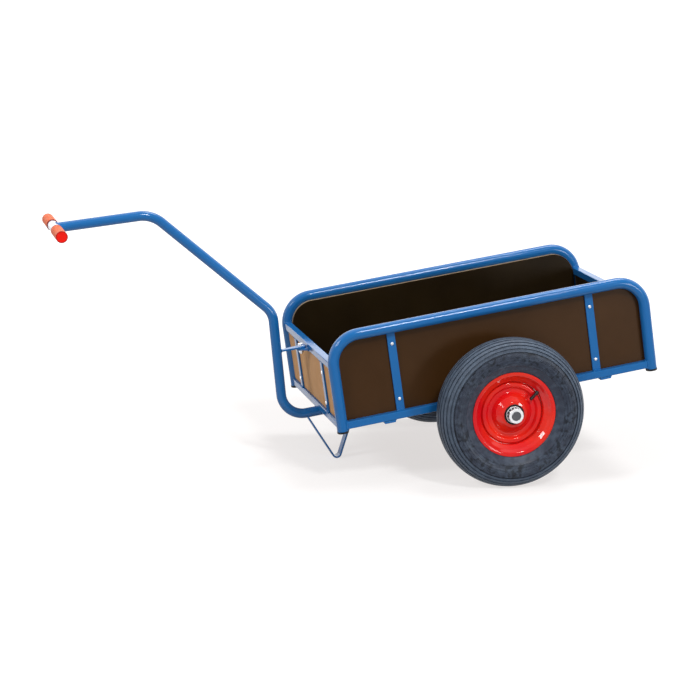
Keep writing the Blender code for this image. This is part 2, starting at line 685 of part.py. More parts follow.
def build_stay():
    """Tapered stay from the drawbar, bolted on top of a lug on the front top rail."""
    half = STAY_WIDTH / 2
    tip = STAY_TIP / 2
    foot = LUG_WIDTH / 2
    lean = (HEEL_REACH - KNEE_REACH) / (KNEE_HEIGHT - DRAWBAR_HEIGHT)
    drawbar_face = KNEE_REACH + lean * (KNEE_HEIGHT - STAY_HEIGHT - STAY / 2) - DRAWBAR_RADIUS - GAP
    rail_face = FRONT_POSTS + RAIL / 2 + GAP
    stay_end = arc(BOLT_REACH, half, QUARTER, math.pi, BEND_STEPS)
    stay_outline = [(drawbar_face, -tip), (drawbar_face, tip), (BOLT_REACH, half), *stay_end,
                    (BOLT_REACH, -half)]
    lug_end = arc(BOLT_REACH, half, -QUARTER, math.pi, BEND_STEPS)
    lug_outline = [(rail_face, -foot), (BOLT_REACH, -half), *lug_end, (BOLT_REACH, half), (rail_face, foot)]
    lug_height = STAY_HEIGHT - STAY - GAP
    drill = cylinder_mesh("drill", BOLT / 2 + GAP, CUTTER_REACH, SMALL_SEGMENTS)
    drill_place = Matrix.Translation((BOLT_REACH, 0, STAY_HEIGHT))
    drill_cutter = new_cutter("bolt_clearance", box, [(drill, drill_place)])
    stay = place("drawbar_stay", plate_mesh("drawbar_stay", stay_outline, STAY), paint, box,
                 (0, 0, STAY_HEIGHT))
    lug = place("stay_lug", plate_mesh("stay_lug", lug_outline, STAY), paint, box, (0, 0, lug_height))
    cut(stay, drill_cutter)
    cut(lug, drill_cutter)
    top = STAY_HEIGHT + STAY / 2 + GAP
    bottom = lug_height - STAY / 2 - GAP
    head = BOLT_HEAD / 2
    shank = BOLT / 2
    profile = [(0.0, top + BOLT_HEAD_HEIGHT), (head, top + BOLT_HEAD_HEIGHT), (head, top), (shank, top),
               (shank, bottom), (head, bottom), (head, bottom - BOLT_HEAD_HEIGHT),
               (0.0, bottom - BOLT_HEAD_HEIGHT)]
    turned("stay_bolt", profile, SMALL_SEGMENTS, zinc, box, (BOLT_REACH, 0, 0))


def build_park_stand():
    """Flat bar bent into a V: notched round the drawbar in front, bent flat under the member behind."""
    centre = rounded(stand_path(), (STAND_BEND, STAND_TURN), BEND_STEPS)
    stand = place("park_stand", plate_mesh("park_stand", band(centre, STAND), STAND_WIDTH), paint, box,
                  (0, 0, 0), (QUARTER, 0, 0))
    cut(stand, RUN_CUTTER)


def centre_over_footprint():
    """Moves the finished cart so that its origin is the bottom centre of its bounding box."""
    bpy.context.view_layer.update()
    graph = bpy.context.evaluated_depsgraph_get()
    low = Vector((math.inf, math.inf, math.inf))
    high = -low
    for item in CART.objects:
        if item.type != "MESH":
            continue
        shown = item.evaluated_get(graph)
        mesh = shown.to_mesh()
        for vertex in mesh.vertices:
            point = shown.matrix_world @ vertex.co
            low = Vector(map(min, low, point))
            high = Vector(map(max, high, point))
        shown.to_mesh_clear()
    cart.location = (-(low.x + high.x) / 2, 0, -low.z)


for name_of_side, sign in SIDES:
    build_side_frame(name_of_side, sign)
    build_side_rail(name_of_side, sign)
    build_side_straps(name_of_side, sign)
    build_side_panel(name_of_side, sign)
for name_of_end, sign, reach_of_end in ENDS:
    build_end_rail(name_of_end, reach_of_end, "bottom", RAIL_LIFT, (POST_CUTTER, RAIL_CUTTER))
    build_end_rail(name_of_end, reach_of_end, "top", END_RAIL_FOOT, (POST_CUTTER,))
    build_end_panel(name_of_end, sign, reach_of_end)
build_floor()
build_axle()
for name_of_side, sign in SIDES:
    build_valve(name_of_side, build_wheel(name_of_side, sign), sign)
build_drawbar()
build_stay()
build_park_stand()
centre_over_footprint()
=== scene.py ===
"""A two-wheeled hand cart parked on its stand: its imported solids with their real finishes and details.

Metres in the cart's own row frame, +X towards the handle, +Y to its left, +Z up from the floor.
"""

import json
import math

import bmesh
import bpy
from mathutils import Matrix, Vector


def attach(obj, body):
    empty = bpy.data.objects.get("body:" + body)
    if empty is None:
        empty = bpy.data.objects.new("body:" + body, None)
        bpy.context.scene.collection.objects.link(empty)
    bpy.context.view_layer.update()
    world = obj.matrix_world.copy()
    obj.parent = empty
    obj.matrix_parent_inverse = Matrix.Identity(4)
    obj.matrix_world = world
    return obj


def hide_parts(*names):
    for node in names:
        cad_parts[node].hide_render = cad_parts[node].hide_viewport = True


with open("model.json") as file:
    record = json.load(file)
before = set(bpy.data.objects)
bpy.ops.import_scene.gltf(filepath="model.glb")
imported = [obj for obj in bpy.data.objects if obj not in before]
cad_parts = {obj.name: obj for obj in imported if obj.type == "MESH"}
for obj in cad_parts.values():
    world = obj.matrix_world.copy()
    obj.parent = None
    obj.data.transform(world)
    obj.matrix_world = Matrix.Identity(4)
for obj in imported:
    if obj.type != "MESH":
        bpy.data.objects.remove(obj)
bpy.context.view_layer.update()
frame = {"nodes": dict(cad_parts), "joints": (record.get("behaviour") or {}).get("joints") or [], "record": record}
nodes = frame["nodes"]

# The box frame: the cart stands pitched nose down, so its straight tubes and boards are drawn in a
# frame of their own, at the middle of the axle and square to the floor board.
floor_mount = next(mount for mount in frame["record"]["mounts"] if mount["name"] == "load_floor")
axle_middle = Vector(frame["joints"][0]["pos_m"])
axle_middle.y = 0.0
box_up = Vector(floor_mount["axis"])
box_forward = Vector((box_up.z, 0.0, -box_up.x))
box_side = Vector((0.0, 1.0, 0.0))
box_turn = Matrix((box_forward, box_side, box_up)).transposed()
box_place = Matrix.Translation(axle_middle) @ box_turn.to_4x4()

# Side frames: each is one steel tube bent into two posts and a top rail. A node tree rounds a path's
# corners and runs the tube along it. The paint is gloss blue, sprayed, with a faint ripple in it.


class Value:
    """A node's output socket that ordinary arithmetic is written on."""

    def __init__(self, graph, socket):
        self.graph = graph
        self.socket = socket

    def __add__(self, other):
        return self.graph.math("ADD", self, other)

    def __sub__(self, other):
        return self.graph.math("SUBTRACT", self, other)

    def __rsub__(self, other):
        return self.graph.math("SUBTRACT", other, self)

    def __mul__(self, other):
        return self.graph.math("MULTIPLY", self, other)

    def __truediv__(self, other):
        return self.graph.math("DIVIDE", self, other)

    __radd__ = __add__
    __rmul__ = __mul__


class Graph:
    """A node tree whose nodes are added by node(): type, settings, then socket values or links."""

    def __init__(self, tree):
        self.tree = tree

    def node(self, kind, settings, sockets, output=None):
        made = self.tree.nodes.new(kind)
        for name, value in settings.items():
            setattr(made, name, value)
        by_name = {socket.identifier: socket for socket in made.inputs}
        for name, value in sockets.items():
            self.join(value, by_name[name])
        if output is None:
            return Value(self, made.outputs[0])
        return Value(self, next(socket for socket in made.outputs if socket.identifier == output))

    def join(self, value, socket):
        if isinstance(value, Value):
            self.tree.links.new(value.socket, socket)
        elif socket.type == "RGBA":
            socket.default_value = (*value, 1.0)
        else:
            socket.default_value = value

    def math(self, operation, first, second=0.0):
        sockets = {"Value": first, "Value_001": second}
        return self.node("ShaderNodeMath", {"operation": operation}, sockets)


class Finish(Graph):
    """One finish of the cart: a material on its Principled shader."""

    def __init__(self, name, slot, roughness, metallic=0.0, specular=0.5):
        self.material = bpy.data.materials.new(name)
        self.material.use_nodes = True
        self.slot = slot
        super().__init__(self.material.node_tree)
        self.shader = self.tree.nodes["Principled BSDF"]
        self.shader.inputs["Roughness"].default_value = roughness
        self.shader.inputs["Metallic"].default_value = metallic
        self.shader.inputs["Specular IOR Level"].default_value = specular
        self.spot = self.node("ShaderNodeTexCoord", {}, {}, "Object")

    def noise(self, scale, detail=2.0, spot=None):
        sockets = {"Vector": spot or self.spot, "Scale": scale, "Detail": detail}
        return self.node("ShaderNodeTexNoise", {}, sockets)

    def step(self, value, low, high):
        """0 below low, 1 above high, and a soft step between them."""
        settings = {"interpolation_type": "SMOOTHSTEP"}
        sockets = {"Value": value, "From Min": low, "From Max": high}
        return self.node("ShaderNodeMapRange", settings, sockets)

    def mix(self, share, first, second):
        sockets = {"Factor_Float": share, "A_Color": first, "B_Color": second}
        return self.node("ShaderNodeMix", {"data_type": "RGBA"}, sockets, "Result_Color")

    def axes(self, spot):
        """The three coordinates of a spot."""
        parts = self.tree.nodes.new("ShaderNodeSeparateXYZ")
        self.join(spot, parts.inputs[0])
        return [Value(self, socket) for socket in parts.outputs]

    def moved(self, place):
        """Object coordinates as seen from a place's own frame."""
        back = place.inverted()
        sockets = {"Vector": self.spot, "Location": back.translation, "Rotation": back.to_euler()}
        return self.node("ShaderNodeMapping", {"vector_type": "POINT"}, sockets)

    def paint(self, colour):
        self.join(colour, self.shader.inputs["Base Color"])

    def gloss(self, roughness):
        self.join(roughness, self.shader.inputs["Roughness"])

    def relief(self, height, distance):
        sockets = {"Height": height, "Distance": distance, "Strength": 1.0}
        self.join(self.node("ShaderNodeBump", {}, sockets), self.shader.inputs["Normal"])

    def varied(self, colours, cloud, relief, gloss=None, edges=None):
        """Lets noise, given by scale and detail, vary the finish.

        cloud mixes the two colours, softly or between two edges. relief is a depth and its noise, and
        gloss the least roughness, what is added to it at most, and its noise.
        """
        share = self.noise(*cloud)
        self.paint(self.mix(self.step(share, *edges) if edges else share, *colours))
        if gloss:
            self.gloss(gloss[0] + gloss[1] * self.noise(*gloss[2:]))
        self.relief(self.noise(*relief[1:]), relief[0])
        return self


class Pattern(Graph):
    """A geometry node tree with named inputs, which ends as real geometry with a finish on it."""

    def __init__(self, name, inputs):
        tree = bpy.data.node_groups.new(name, "GeometryNodeTree")
        super().__init__(tree)
        tree.interface.new_socket("Geometry", in_out="INPUT", socket_type="NodeSocketGeometry")
        self.keys = {}
        for label, kind in (*inputs, ("Finish", "Material")):
            made = tree.interface.new_socket(label, in_out="INPUT", socket_type=f"NodeSocket{kind}")
            self.keys[label] = made.identifier
        tree.interface.new_socket("Geometry", in_out="OUTPUT", socket_type="NodeSocketGeometry")
        self.start = tree.nodes.new("NodeGroupInput")
        self.end = tree.nodes.new("NodeGroupOutput")

    def given(self, label):
        return Value(self, self.start.outputs[label])

    def close(self, shape):
        real = self.node("GeometryNodeRealizeInstances", {}, {"Geometry": shape})
        sockets = {"Geometry": real, "Material": self.given("Finish")}
        self.join(self.node("GeometryNodeSetMaterial", {}, sockets), self.end.inputs[0])

    def run(self, item, finish, **values):
        """Puts the tree on a piece, sets its inputs and leaves the result as a plain mesh."""
        modifier = item.modifiers.new(self.tree.name, "NODES")
        modifier.node_group = self.tree
        modifier[self.keys["Finish"]] = finish.material
        for label, value in values.items():
            modifier[self.keys[label]] = value
        return settled(item)


def settled(item):
    """Turns a piece with its modifiers into a plain mesh."""
    graph = bpy.context.evaluated_depsgraph_get()
    graph.update()
    mesh = bpy.data.meshes.new_from_object(item.evaluated_get(graph))
    item.modifiers.clear()
    item.data = mesh
    return item


def new_piece(name, mesh):
    item = bpy.data.objects.new(name, mesh)
    bpy.context.scene.collection.objects.link(item)
    return item


def from_shape(name, shape, place=None):
    """A piece from a bmesh, moved to its place and with its faces turned outwards."""
    if place:
        bmesh.ops.transform(shape, matrix=place, verts=shape.verts)
    bmesh.ops.recalc_face_normals(shape, faces=shape.faces)
    mesh = bpy.data.meshes.new(name)
    shape.to_mesh(mesh)
    shape.free()
    return new_piece(name, mesh)


def smooth(item, angle=38):
    """Rounded faces shade smoothly, and flat ones stay flat beside their small bevels."""
    item.data.shade_smooth()
    item.data.set_sharp_from_angle(angle=math.radians(angle))
    modifier = item.modifiers.new("weighted", "WEIGHTED_NORMAL")
    modifier.keep_sharp = True
    return settled(item)


def fit(item, finish, body="cart", *replaced):
    """Gives a finished piece its finish if it has none, its body and the solids that it stands for."""
    if not item.data.materials:
        item.data.materials.append(finish.material)
    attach(item, body)
    if replaced:
        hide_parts(*replaced)


SIDES = (("left", 1), ("right", -1))
FRAME_TUBE_RADIUS = 0.015
FRAME_PLANE = 0.28025  # centre plane of a side frame, from the cart's
FRONT_POST = 0.437
REAR_POST = -0.4325
FRAME_TOP = 0.267
POST_FOOT = 0.01665
FRAME_BEND = 0.075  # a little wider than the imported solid's, as the photograph shows
BEND_STEPS = 20
TUBE_SIDES = 40
BLUE = (0.013, 0.150, 0.430)
BLUE_DEEP = (0.010, 0.128, 0.380)

blue_enamel = Finish("blue_enamel", "blue_enamel", 0.12, specular=0.32).varied(
    (BLUE_DEEP, BLUE), cloud=(7.0,), relief=(0.00006, 260.0, 1.0), gloss=(0.08, 0.09, 35.0))

tube_run = Pattern("tube_run", (("Radius", "Float"),))
run = tube_run.node("GeometryNodeMeshToCurve", {}, {"Mesh": tube_run.given("Geometry")})
bend = tube_run.node("GeometryNodeInputNamedAttribute", {"data_type": "FLOAT"}, {"Name": "bend"})
run = tube_run.node("GeometryNodeFilletCurve", {"mode": "POLY"},
                    {"Curve": run, "Radius": bend, "Count": BEND_STEPS})
ring = tube_run.node("GeometryNodeCurvePrimitiveCircle", {"mode": "RADIUS"},
                     {"Resolution": TUBE_SIDES, "Radius": tube_run.given("Radius")})
tube_run.close(tube_run.node("GeometryNodeCurveToMesh", {},
                             {"Curve": run, "Profile Curve": ring, "Fill Caps": True}))


def path_piece(name, points, bends=None, closed=False):
    """A chain of edges through points of the box frame, with the bend's radius kept at each."""
    mesh = bpy.data.meshes.new(name)
    edges = [(index, index + 1) for index in range(len(points) - 1)]
    if closed:
        edges.append((len(points) - 1, 0))
    mesh.from_pydata([box_place @ Vector(point) for point in points], edges, [])
    kept = mesh.attributes.new("bend", "FLOAT", "POINT")
    for index, radius in enumerate(bends or [0.0] * len(points)):
        kept.data[index].value = radius
    return new_piece(name, mesh)


for side_name, side in SIDES:
    plane = side * FRAME_PLANE
    corners = [(FRONT_POST, plane, POST_FOOT), (FRONT_POST, plane, FRAME_TOP),
               (REAR_POST, plane, FRAME_TOP), (REAR_POST, plane, POST_FOOT)]
    path = path_piece(f"{side_name}_frame_tube", corners, (0.0, FRAME_BEND, FRAME_BEND, 0.0))
    tube = tube_run.run(path, blue_enamel, Radius=FRAME_TUBE_RADIUS)
    fit(smooth(tube), blue_enamel, "cart", f"{side_name}_side_frame")

# Rails, cross members and flat bars: square tube round the foot and across both ends, and flat bar
# up the sides and ends, under the floor and between the axle and the rails.
# All of it is welded up and painted with the side frames.
BAR_EASE = 0.0005  # rolled edge of the flat bar
SAME_SPOT = 0.00001  # points nearer than this are one
FLAT = math.radians(1)  # faces that turn less than this are one
SHARP = math.radians(35)  # an edge that turns more than this is eased


def ease_edges(shape, ease, segments):
    """Eases every sharp edge of a shape."""
    sharp = [edge for edge in shape.edges if edge.calc_face_angle(0.0) > SHARP]
    bmesh.ops.bevel(shape, geom=sharp, offset=ease, segments=segments, profile=0.5, affect="EDGES")


def coated(name, solid, shape, finishes, sort=None, place=None):
    """A shape as the piece that stands for a solid; sort says which of the finishes a face has."""
    if sort:
        for face in shape.faces:
            face.material_index = sort(face.normal)
    item = from_shape(name, shape, place)
    for finish in finishes:
        item.data.materials.append(finish.material)
    fit(smooth(item), finishes[0], "cart", solid)


def eased_copy(name, ease, segments, finishes, sort=None):
    """A solid's mesh with its edges eased."""
    shape = bmesh.new()
    shape.from_mesh(nodes[name].data)
    bmesh.ops.remove_doubles(shape, verts=shape.verts, dist=SAME_SPOT)
    bmesh.ops.dissolve_limit(shape, angle_limit=FLAT, verts=shape.verts, edges=shape.edges)
    ease_edges(shape, ease, segments)
    coated(f"{name}_eased", name, shape, finishes, sort)


for name in ("left_bottom_rail", "right_bottom_rail", "front_bottom_rail", "rear_bottom_rail",
             "front_top_rail", "rear_top_rail"):
    rail = nodes[name]
    rail.data.materials.clear()
    rail.data.materials.append(blue_enamel.material)
for name in ("front_cross_member", "rear_cross_member", "left_axle_saddle", "right_axle_saddle",
             "left_front_strap", "left_rear_strap", "right_front_strap", "right_rear_strap",
             "front_left_end_strap", "front_right_end_strap", "rear_left_end_strap",
             "rear_right_end_strap"):
    eased_copy(name, BAR_EASE, 2, [blue_enamel])

# Post caps: black plastic plugs pushed into the foot of each post, with a lip over the tube's end.
# The plastic is dull, with a fine moulded grain.
CAP_RADIUS = 0.0158
CAP_TOP = 0.01635
CAP_FOOT = 0.01085
CAP_ROUND = 0.0020
CAP_SIDES = 40
ON_AXIS = 0.000001  # points of a turned piece nearer than this are one
PLASTIC_BLACK = (0.003, 0.003, 0.004)
PLASTIC_WORN = (0.009, 0.009, 0.010)

black_plastic = Finish("black_plastic", "black_plastic", 0.42, specular=0.3).varied(
    (PLASTIC_BLACK, PLASTIC_WORN), cloud=(60.0,), relief=(0.00005, 1800.0))


def turned_piece(name, section, segments, place):
    """A closed section of (radius, height) points turned round the Z axis of a place."""
    shape = bmesh.new()
    rings = []
    for count in range(segments):
        angle = math.tau * count / segments
        rings.append([shape.verts.new((radius * math.cos(angle), radius * math.sin(angle), height))
                      for radius, height in section])
    for count in range(segments):
        here = rings[count]
        there = rings[(count + 1) % segments]
        for index in range(len(section)):
            after = (index + 1) % len(section)
            if max(section[index][0], section[after][0]) > 0.0:
                shape.faces.new((here[index], here[after], there[after], there[index]))
    bmesh.ops.remove_doubles(shape, verts=shape.verts, dist=ON_AXIS)
    bmesh.ops.transform(shape, matrix=place, verts=shape.verts)
    return smooth(from_shape(name, shape))


def fit_turned(name, section, segments, place, finish, body="cart", *replaced):
    """A turned piece with its finish, its body and the solids that it stands for."""
    fit(turned_piece(name, section, segments, place), finish, body, *replaced)


def quarter(centre_radius, centre_height, size, start, stop, steps=5):
    """Points on a small arc of a section, from one angle in degrees to another."""
    points = []
    for count in range(steps + 1):
        angle = math.radians(start + (stop - start) * count / steps)
        points.append((centre_radius + size * math.cos(angle), centre_height + size * math.sin(angle)))
    return points


cap_section = [(0.0, CAP_TOP), (CAP_RADIUS, CAP_TOP),
               *quarter(CAP_RADIUS - CAP_ROUND, CAP_FOOT + CAP_ROUND, CAP_ROUND, 0, -90), (0.0, CAP_FOOT)]
for side_name, side in SIDES:
    for end_name, reach in (("front", FRONT_POST), ("rear", REAR_POST)):
        place = box_place @ Matrix.Translation((reach, side * FRAME_PLANE, 0.0))
        fit_turned(f"{side_name}_{end_name}_foot_cap", cap_section, CAP_SIDES, place, black_plastic,
                   "cart", f"{side_name}_{end_name}_post_cap")

# Boards: the sides, ends and floor are plywood faced with dark brown film, which shines a little. The
# sawn edges are bare and show the layers. The film is painted darker inside the box, as painted shade, and
# paler on the ends' outer faces, as painted light from the front.
FILM = (0.040, 0.016, 0.003)
FILM_WORN = (0.064, 0.027, 0.008)
# painted light: the ends' outer film is paler, as lit from the front
LIT_END_FILM = (0.620, 0.330, 0.145)
LIT_END_FILM_WORN = (0.700, 0.390, 0.180)
# painted shade: the film inside the box is darker, standing for the shade in it
INSIDE_SHADE = (0.008, 0.004, 0.001)
INSIDE_SHADE_WORN = (0.024, 0.014, 0.004)
PLY_PALE = (0.46, 0.36, 0.24)
PLY_DARK = (0.22, 0.14, 0.08)
PLY_LAYER = 0.0015  # thickness of one layer of the plywood
LAYER_EDGES = (0.45, 0.75)  # where a layer's dark half turns pale, across it
FIBRE = (380.0, 3.0)  # scale and detail of the fibres' noise
EDGE_DEPTH = 0.00015
BOARD_EASE = 0.0004
BOARD = 0.009
INNER_FACE = 0.26095  # inner face of a side board, from the cart's centre plane
FRONT_EDGE = 0.4254  # a side board's ends, top, foot and rounded corners
REAR_EDGE = -0.4209
BOARD_TOP = 0.2554
BOARD_FOOT = 0.0203
BEND_INSET = 0.0116  # a board's rounded corner, inside the tube's bend
BOARD_CORNER = FRAME_BEND - BEND_INSET
CORNER_STEPS = 12
LEG_SHARE = 0.49  # the most of a straight run that one bend may take
FACING = 0.8  # how squarely one of the two broad faces looks out or in


def rounded(points, bends, steps=6):
    """A flat path with an arc of its bend's radius at each inner corner."""
    points = [Vector(point) for point in points]
    path = [points[0]]
    for before, corner, after, bend in zip(points, points[1:], points[2:], bends):
        back = (before - corner).normalized()
        ahead = (after - corner).normalized()
        half = back.angle(ahead) / 2
        leg = min((before - corner).length, (after - corner).length)
        cut = min(bend / math.tan(half), LEG_SHARE * leg)
        centre = corner + (back + ahead).normalized() * (cut / math.cos(half))
        start = corner + back * cut - centre
        stop = corner + ahead * cut - centre
        sweep = start.angle_signed(stop)
        for count in range(steps + 1):
            path.append(centre + Matrix.Rotation(-sweep * count / steps, 2) @ start)
    path.append(points[-1])
    return path


def plate(outline, depth):
    """A flat outline given a thickness."""
    shape = bmesh.new()
    face = shape.faces.new([shape.verts.new(point) for point in outline])
    walls = bmesh.ops.extrude_face_region(shape, geom=[face])
    moved = [item for item in walls["geom"] if isinstance(item, bmesh.types.BMVert)]
    bmesh.ops.translate(shape, vec=depth, verts=moved)
    bmesh.ops.recalc_face_normals(shape, faces=shape.faces)
    return shape


def board_film(name, colours, roughness, specular):
    """The brown film on the boards' faces."""
    return Finish(name, "filmed_plywood", roughness, specular=specular).varied(
        colours, cloud=(9.0, 4.0), relief=(0.00008, 420.0), gloss=(roughness - 0.06, 0.14, 24.0, 3.0))


def board_edge(axis):
    """Bare sawn plywood, its layers stacked along one axis of the box frame."""
    edge = Finish(f"plywood_edge_{'xyz'[axis]}", "filmed_plywood", 0.75)
    level = edge.moved(box_place)
    layer = edge.math("PINGPONG", edge.axes(level)[axis], PLY_LAYER) / PLY_LAYER
    fibre = edge.noise(*FIBRE, level)
    edge.paint(edge.mix(edge.step(layer + 0.3 * fibre, *LAYER_EDGES), PLY_DARK, PLY_PALE))
    edge.relief(layer * 0.6 + fibre, EDGE_DEPTH)
    return edge


outer_film = board_film("outer_film", (FILM, FILM_WORN), 0.34, 0.15)
# the inside faces: film painted darker as shade
inner_film = board_film("inner_film", (INSIDE_SHADE, INSIDE_SHADE_WORN), 0.42, 0.12)
# the ends' outer faces: film painted paler as light from the front
end_film = board_film("end_film", (LIT_END_FILM, LIT_END_FILM_WORN), 0.60, 0.06)


def film_side(out):
    """Sorts a board's faces by their normals: 0 outside, 1 inside and 2 on the sawn edges."""
    def sort(normal):
        facing = normal.dot(out)
        return 0 if facing > FACING else 1 if facing < -FACING else 2
    return sort


def board(name, out, axis, films=(outer_film, inner_film)):
    """A board with film outside and inside, where out is its outward direction."""
    eased_copy(name, BOARD_EASE, 1, [*films, board_edge(axis)], film_side(out))


def side_board(name, side):
    """A side's board, its top corners rounded to follow the bends of the tube."""
    rounds = rounded([(FRONT_EDGE, BOARD_FOOT), (FRONT_EDGE, BOARD_TOP), (REAR_EDGE, BOARD_TOP),
                      (REAR_EDGE, BOARD_FOOT)], (BOARD_CORNER, BOARD_CORNER), CORNER_STEPS)
    shape = plate([(point.x, side * INNER_FACE, point.y) for point in rounds], (0.0, side * BOARD, 0.0))
    ease_edges(shape, BOARD_EASE, 1)
    coated(f"{name}_board", name, shape, (outer_film, inner_film, board_edge(1)),
           film_side(side * box_side), box_place)


side_board("left_side_panel", 1)
side_board("right_side_panel", -1)
board("front_end_panel", box_forward, 0, (end_film, inner_film))
board("rear_end_panel", -box_forward, 0, (end_film, inner_film))
board("floor_board", -box_up, 2)

# Panel screws: zinc-plated pan heads with a cross recess, driven through the flat bars into the boards.
# One head is turned and cut, and a node tree sets it on every hole, facing out.
HEAD_RADIUS = 0.0046
HEAD_HEIGHT = 0.0026
DOME_SHARES = ((0.5, 0.96), (0.82, 0.8), (0.97, 0.5), (1.0, 0.2))  # of the head's radius and height
HEAD_SIDES = 20
RECESS_LENGTH = 0.0046
RECESS_WIDTH = 0.0011
RECESS_DEPTH = 0.0013
SIDE_FACE = 0.27525  # outer face of the side bars, from the cart's centre plane
FRONT_FACE = 0.4450  # outer face of the front end's bars, ahead of the axle
REAR_FACE = 0.4405
END_BARS = 0.155
SIDE_SCREWS = ((0.2718, 0.2220), (0.2718, 0.0710), (-0.2802, 0.2170), (-0.2802, 0.0706))
END_SCREWS = (0.151, 0.066)
ZINC_GREY = (0.78, 0.80, 0.83)
ZINC_PALE = (0.93, 0.94, 0.95)

zinc = Finish("zinc", "zinc", 0.3, 1.0).varied(
    (ZINC_GREY, ZINC_PALE), cloud=(420.0, 3.0), relief=(0.00003, 900.0), gloss=(0.34, 0.20, 420.0, 3.0))


def cut_away(item, cutter):
    """Takes a cutter out of a piece, and the cutter out of the scene."""
    cut = item.modifiers.new("cut", "BOOLEAN")
    cut.solver = "EXACT"
    cut.object = cutter
    settled(item)
    bpy.data.objects.remove(cutter, do_unlink=True)


def screw_head():
    """One pan head with its cross recess, its seat at the origin and its axis along +Z."""
    dome = [(HEAD_RADIUS * across, HEAD_HEIGHT * up) for across, up in DOME_SHARES]
    dome = [(0.0, HEAD_HEIGHT), *dome, (HEAD_RADIUS, 0.0), (0.0, 0.0)]
    head = turned_piece("screw_head", dome, HEAD_SIDES, Matrix.Identity(4))
    for length, width in ((RECESS_LENGTH, RECESS_WIDTH), (RECESS_WIDTH, RECESS_LENGTH)):
        shape = bmesh.new()
        size = Matrix.Diagonal((length, width, 2 * RECESS_DEPTH, 1.0))
        bmesh.ops.create_cube(shape, size=1.0, matrix=Matrix.Translation((0, 0, HEAD_HEIGHT)) @ size)
        cut_away(head, from_shape("recess", shape))
    return head


studs = Pattern("studs", (("Head", "Object"),))
out = studs.node("GeometryNodeInputNamedAttribute", {"data_type": "FLOAT_VECTOR"}, {"Name": "out"})
facing = studs.node("FunctionNodeAlignRotationToVector", {"axis": "Z"}, {"Vector": out})
head = studs.node("GeometryNodeObjectInfo", {}, {"Object": studs.given("Head")}, "Geometry")
studs.close(studs.node("GeometryNodeInstanceOnPoints", {},
                       {"Points": studs.given("Geometry"), "Instance": head, "Rotation": facing}))


def set_out(name, spots, head, finish):
    """Copies of a head on (point, outward direction) pairs of the row frame."""
    mesh = bpy.data.meshes.new(name)
    mesh.from_pydata([point for point, facing in spots], [], [])
    kept = mesh.attributes.new("out", "FLOAT_VECTOR", "POINT")
    for index, (point, facing) in enumerate(spots):
        kept.data[index].vector = facing
    return studs.run(new_piece(name, mesh), finish, Head=head)


holes = []
for side in (1, -1):
    for reach, height in SIDE_SCREWS:
        holes.append((box_place @ Vector((reach, side * SIDE_FACE, height)), side * box_side))
    for height in END_SCREWS:
        holes.append((box_place @ Vector((FRONT_FACE, side * END_BARS, height)), box_forward))
        holes.append((box_place @ Vector((-REAR_FACE, side * END_BARS, height)), -box_forward))
one_head = screw_head()
fit(set_out("panel_screws", holes, one_head, zinc), zinc)
bpy.data.objects.remove(one_head, do_unlink=True)

# Axle: a plain turned steel bar with chamfered ends. Zinc-plated collars, sleeves and washers hold the
# wheels on it.
AXLE_RADIUS = 0.0125
AXLE_HALF = 0.416
AXLE_CHAMFER = 0.0015
RING_BORE = 0.0128  # hole in what is pushed onto the axle
RING_EASE = 0.0006
RINGS = (("collar", 0.0200, 0.3192, 0.3292),  # radius, and faces from the centre plane
         ("spacer", 0.0165, 0.3978, 0.4112),
         ("washer", 0.0200, 0.4115, 0.4145))
TURNED_SIDES = 48
STEEL_DARK = (0.055, 0.06, 0.07)
STEEL_PALE = (0.16, 0.165, 0.18)

plain_steel = Finish("plain_steel", "plain_steel", 0.4, 1.0).varied(
    (STEEL_DARK, STEEL_PALE), cloud=(40.0, 4.0), relief=(0.00006, 700.0), gloss=(0.32, 0.2, 40.0, 4.0))


def towards(side):
    """Turns a piece's own Z axis to the cart's left, for 1, or right, for -1."""
    return Matrix.Rotation(-side * math.pi / 2, 4, "X")


def bar_section(radius, half, chamfer):
    """A round bar's section with chamfered ends, half its length each way."""
    return [(0.0, half), (radius - chamfer, half), (radius, half - chamfer), (radius, chamfer - half),
            (radius - chamfer, -half), (0.0, -half)]


axle_section = bar_section(AXLE_RADIUS, AXLE_HALF, AXLE_CHAMFER)
fit_turned("axle_bar", axle_section, TURNED_SIDES, box_place @ towards(1), plain_steel, "cart", "axle")


def ring_section(inner, outer, foot, top, ease):
    """A plain ring's section with its outer edges eased."""
    return [(inner, foot), (outer - ease, foot), (outer, foot + ease), (outer, top - ease),
            (outer - ease, top), (inner, top)]


for side_name, side in SIDES:
    for kind, outer, foot, top in RINGS:
        section = ring_section(RING_BORE, outer, foot, top, RING_EASE)
        fit_turned(f"{side_name}_{kind}_ring", section, TURNED_SIDES, box_place @ towards(side), zinc,
                   "cart", f"{side_name}_axle_{kind}")

# Tyres: black pneumatic tyres with ribs round the tread, between narrow grooves, and faint rings round
# the mottled sidewalls. The rubber has weathered to slate grey, and its ribs are finely cross-hatched. The
# ribs are painted paler, partly as wear and partly as a painted sheen, and the grooves black as painted shade.
WHEEL_PLANE = 0.3635  # centre plane of a wheel, from the cart's
TYRE_CENTRE = 0.157  # radius of the widest part of the section
TYRE_HALF_WIDTH = 0.050
TYRE_HALF_HEIGHT = 0.043
TYRE_SQUARENESS = 2.3
BEAD = ((0.1010, 0.0230), (0.1085, 0.0298), (0.1148, 0.0302), (0.1148, 0.0330), (0.1160, 0.0345),
        (0.1205, 0.0372), (0.1258, 0.0398))
SIDEWALL_FOOT = 0.130  # where the bead's curve becomes the section's own
GROOVES = (0.0060, 0.0185, 0.0300, 0.0390, 0.0454, 0.0487)
GROOVE_DEPTH = 0.0032
GROOVE_HALF = 0.0022
GROOVE_SLOPE = 0.0005
RIBLETS = (0.136, 0.143, 0.150, 0.157, 0.162)
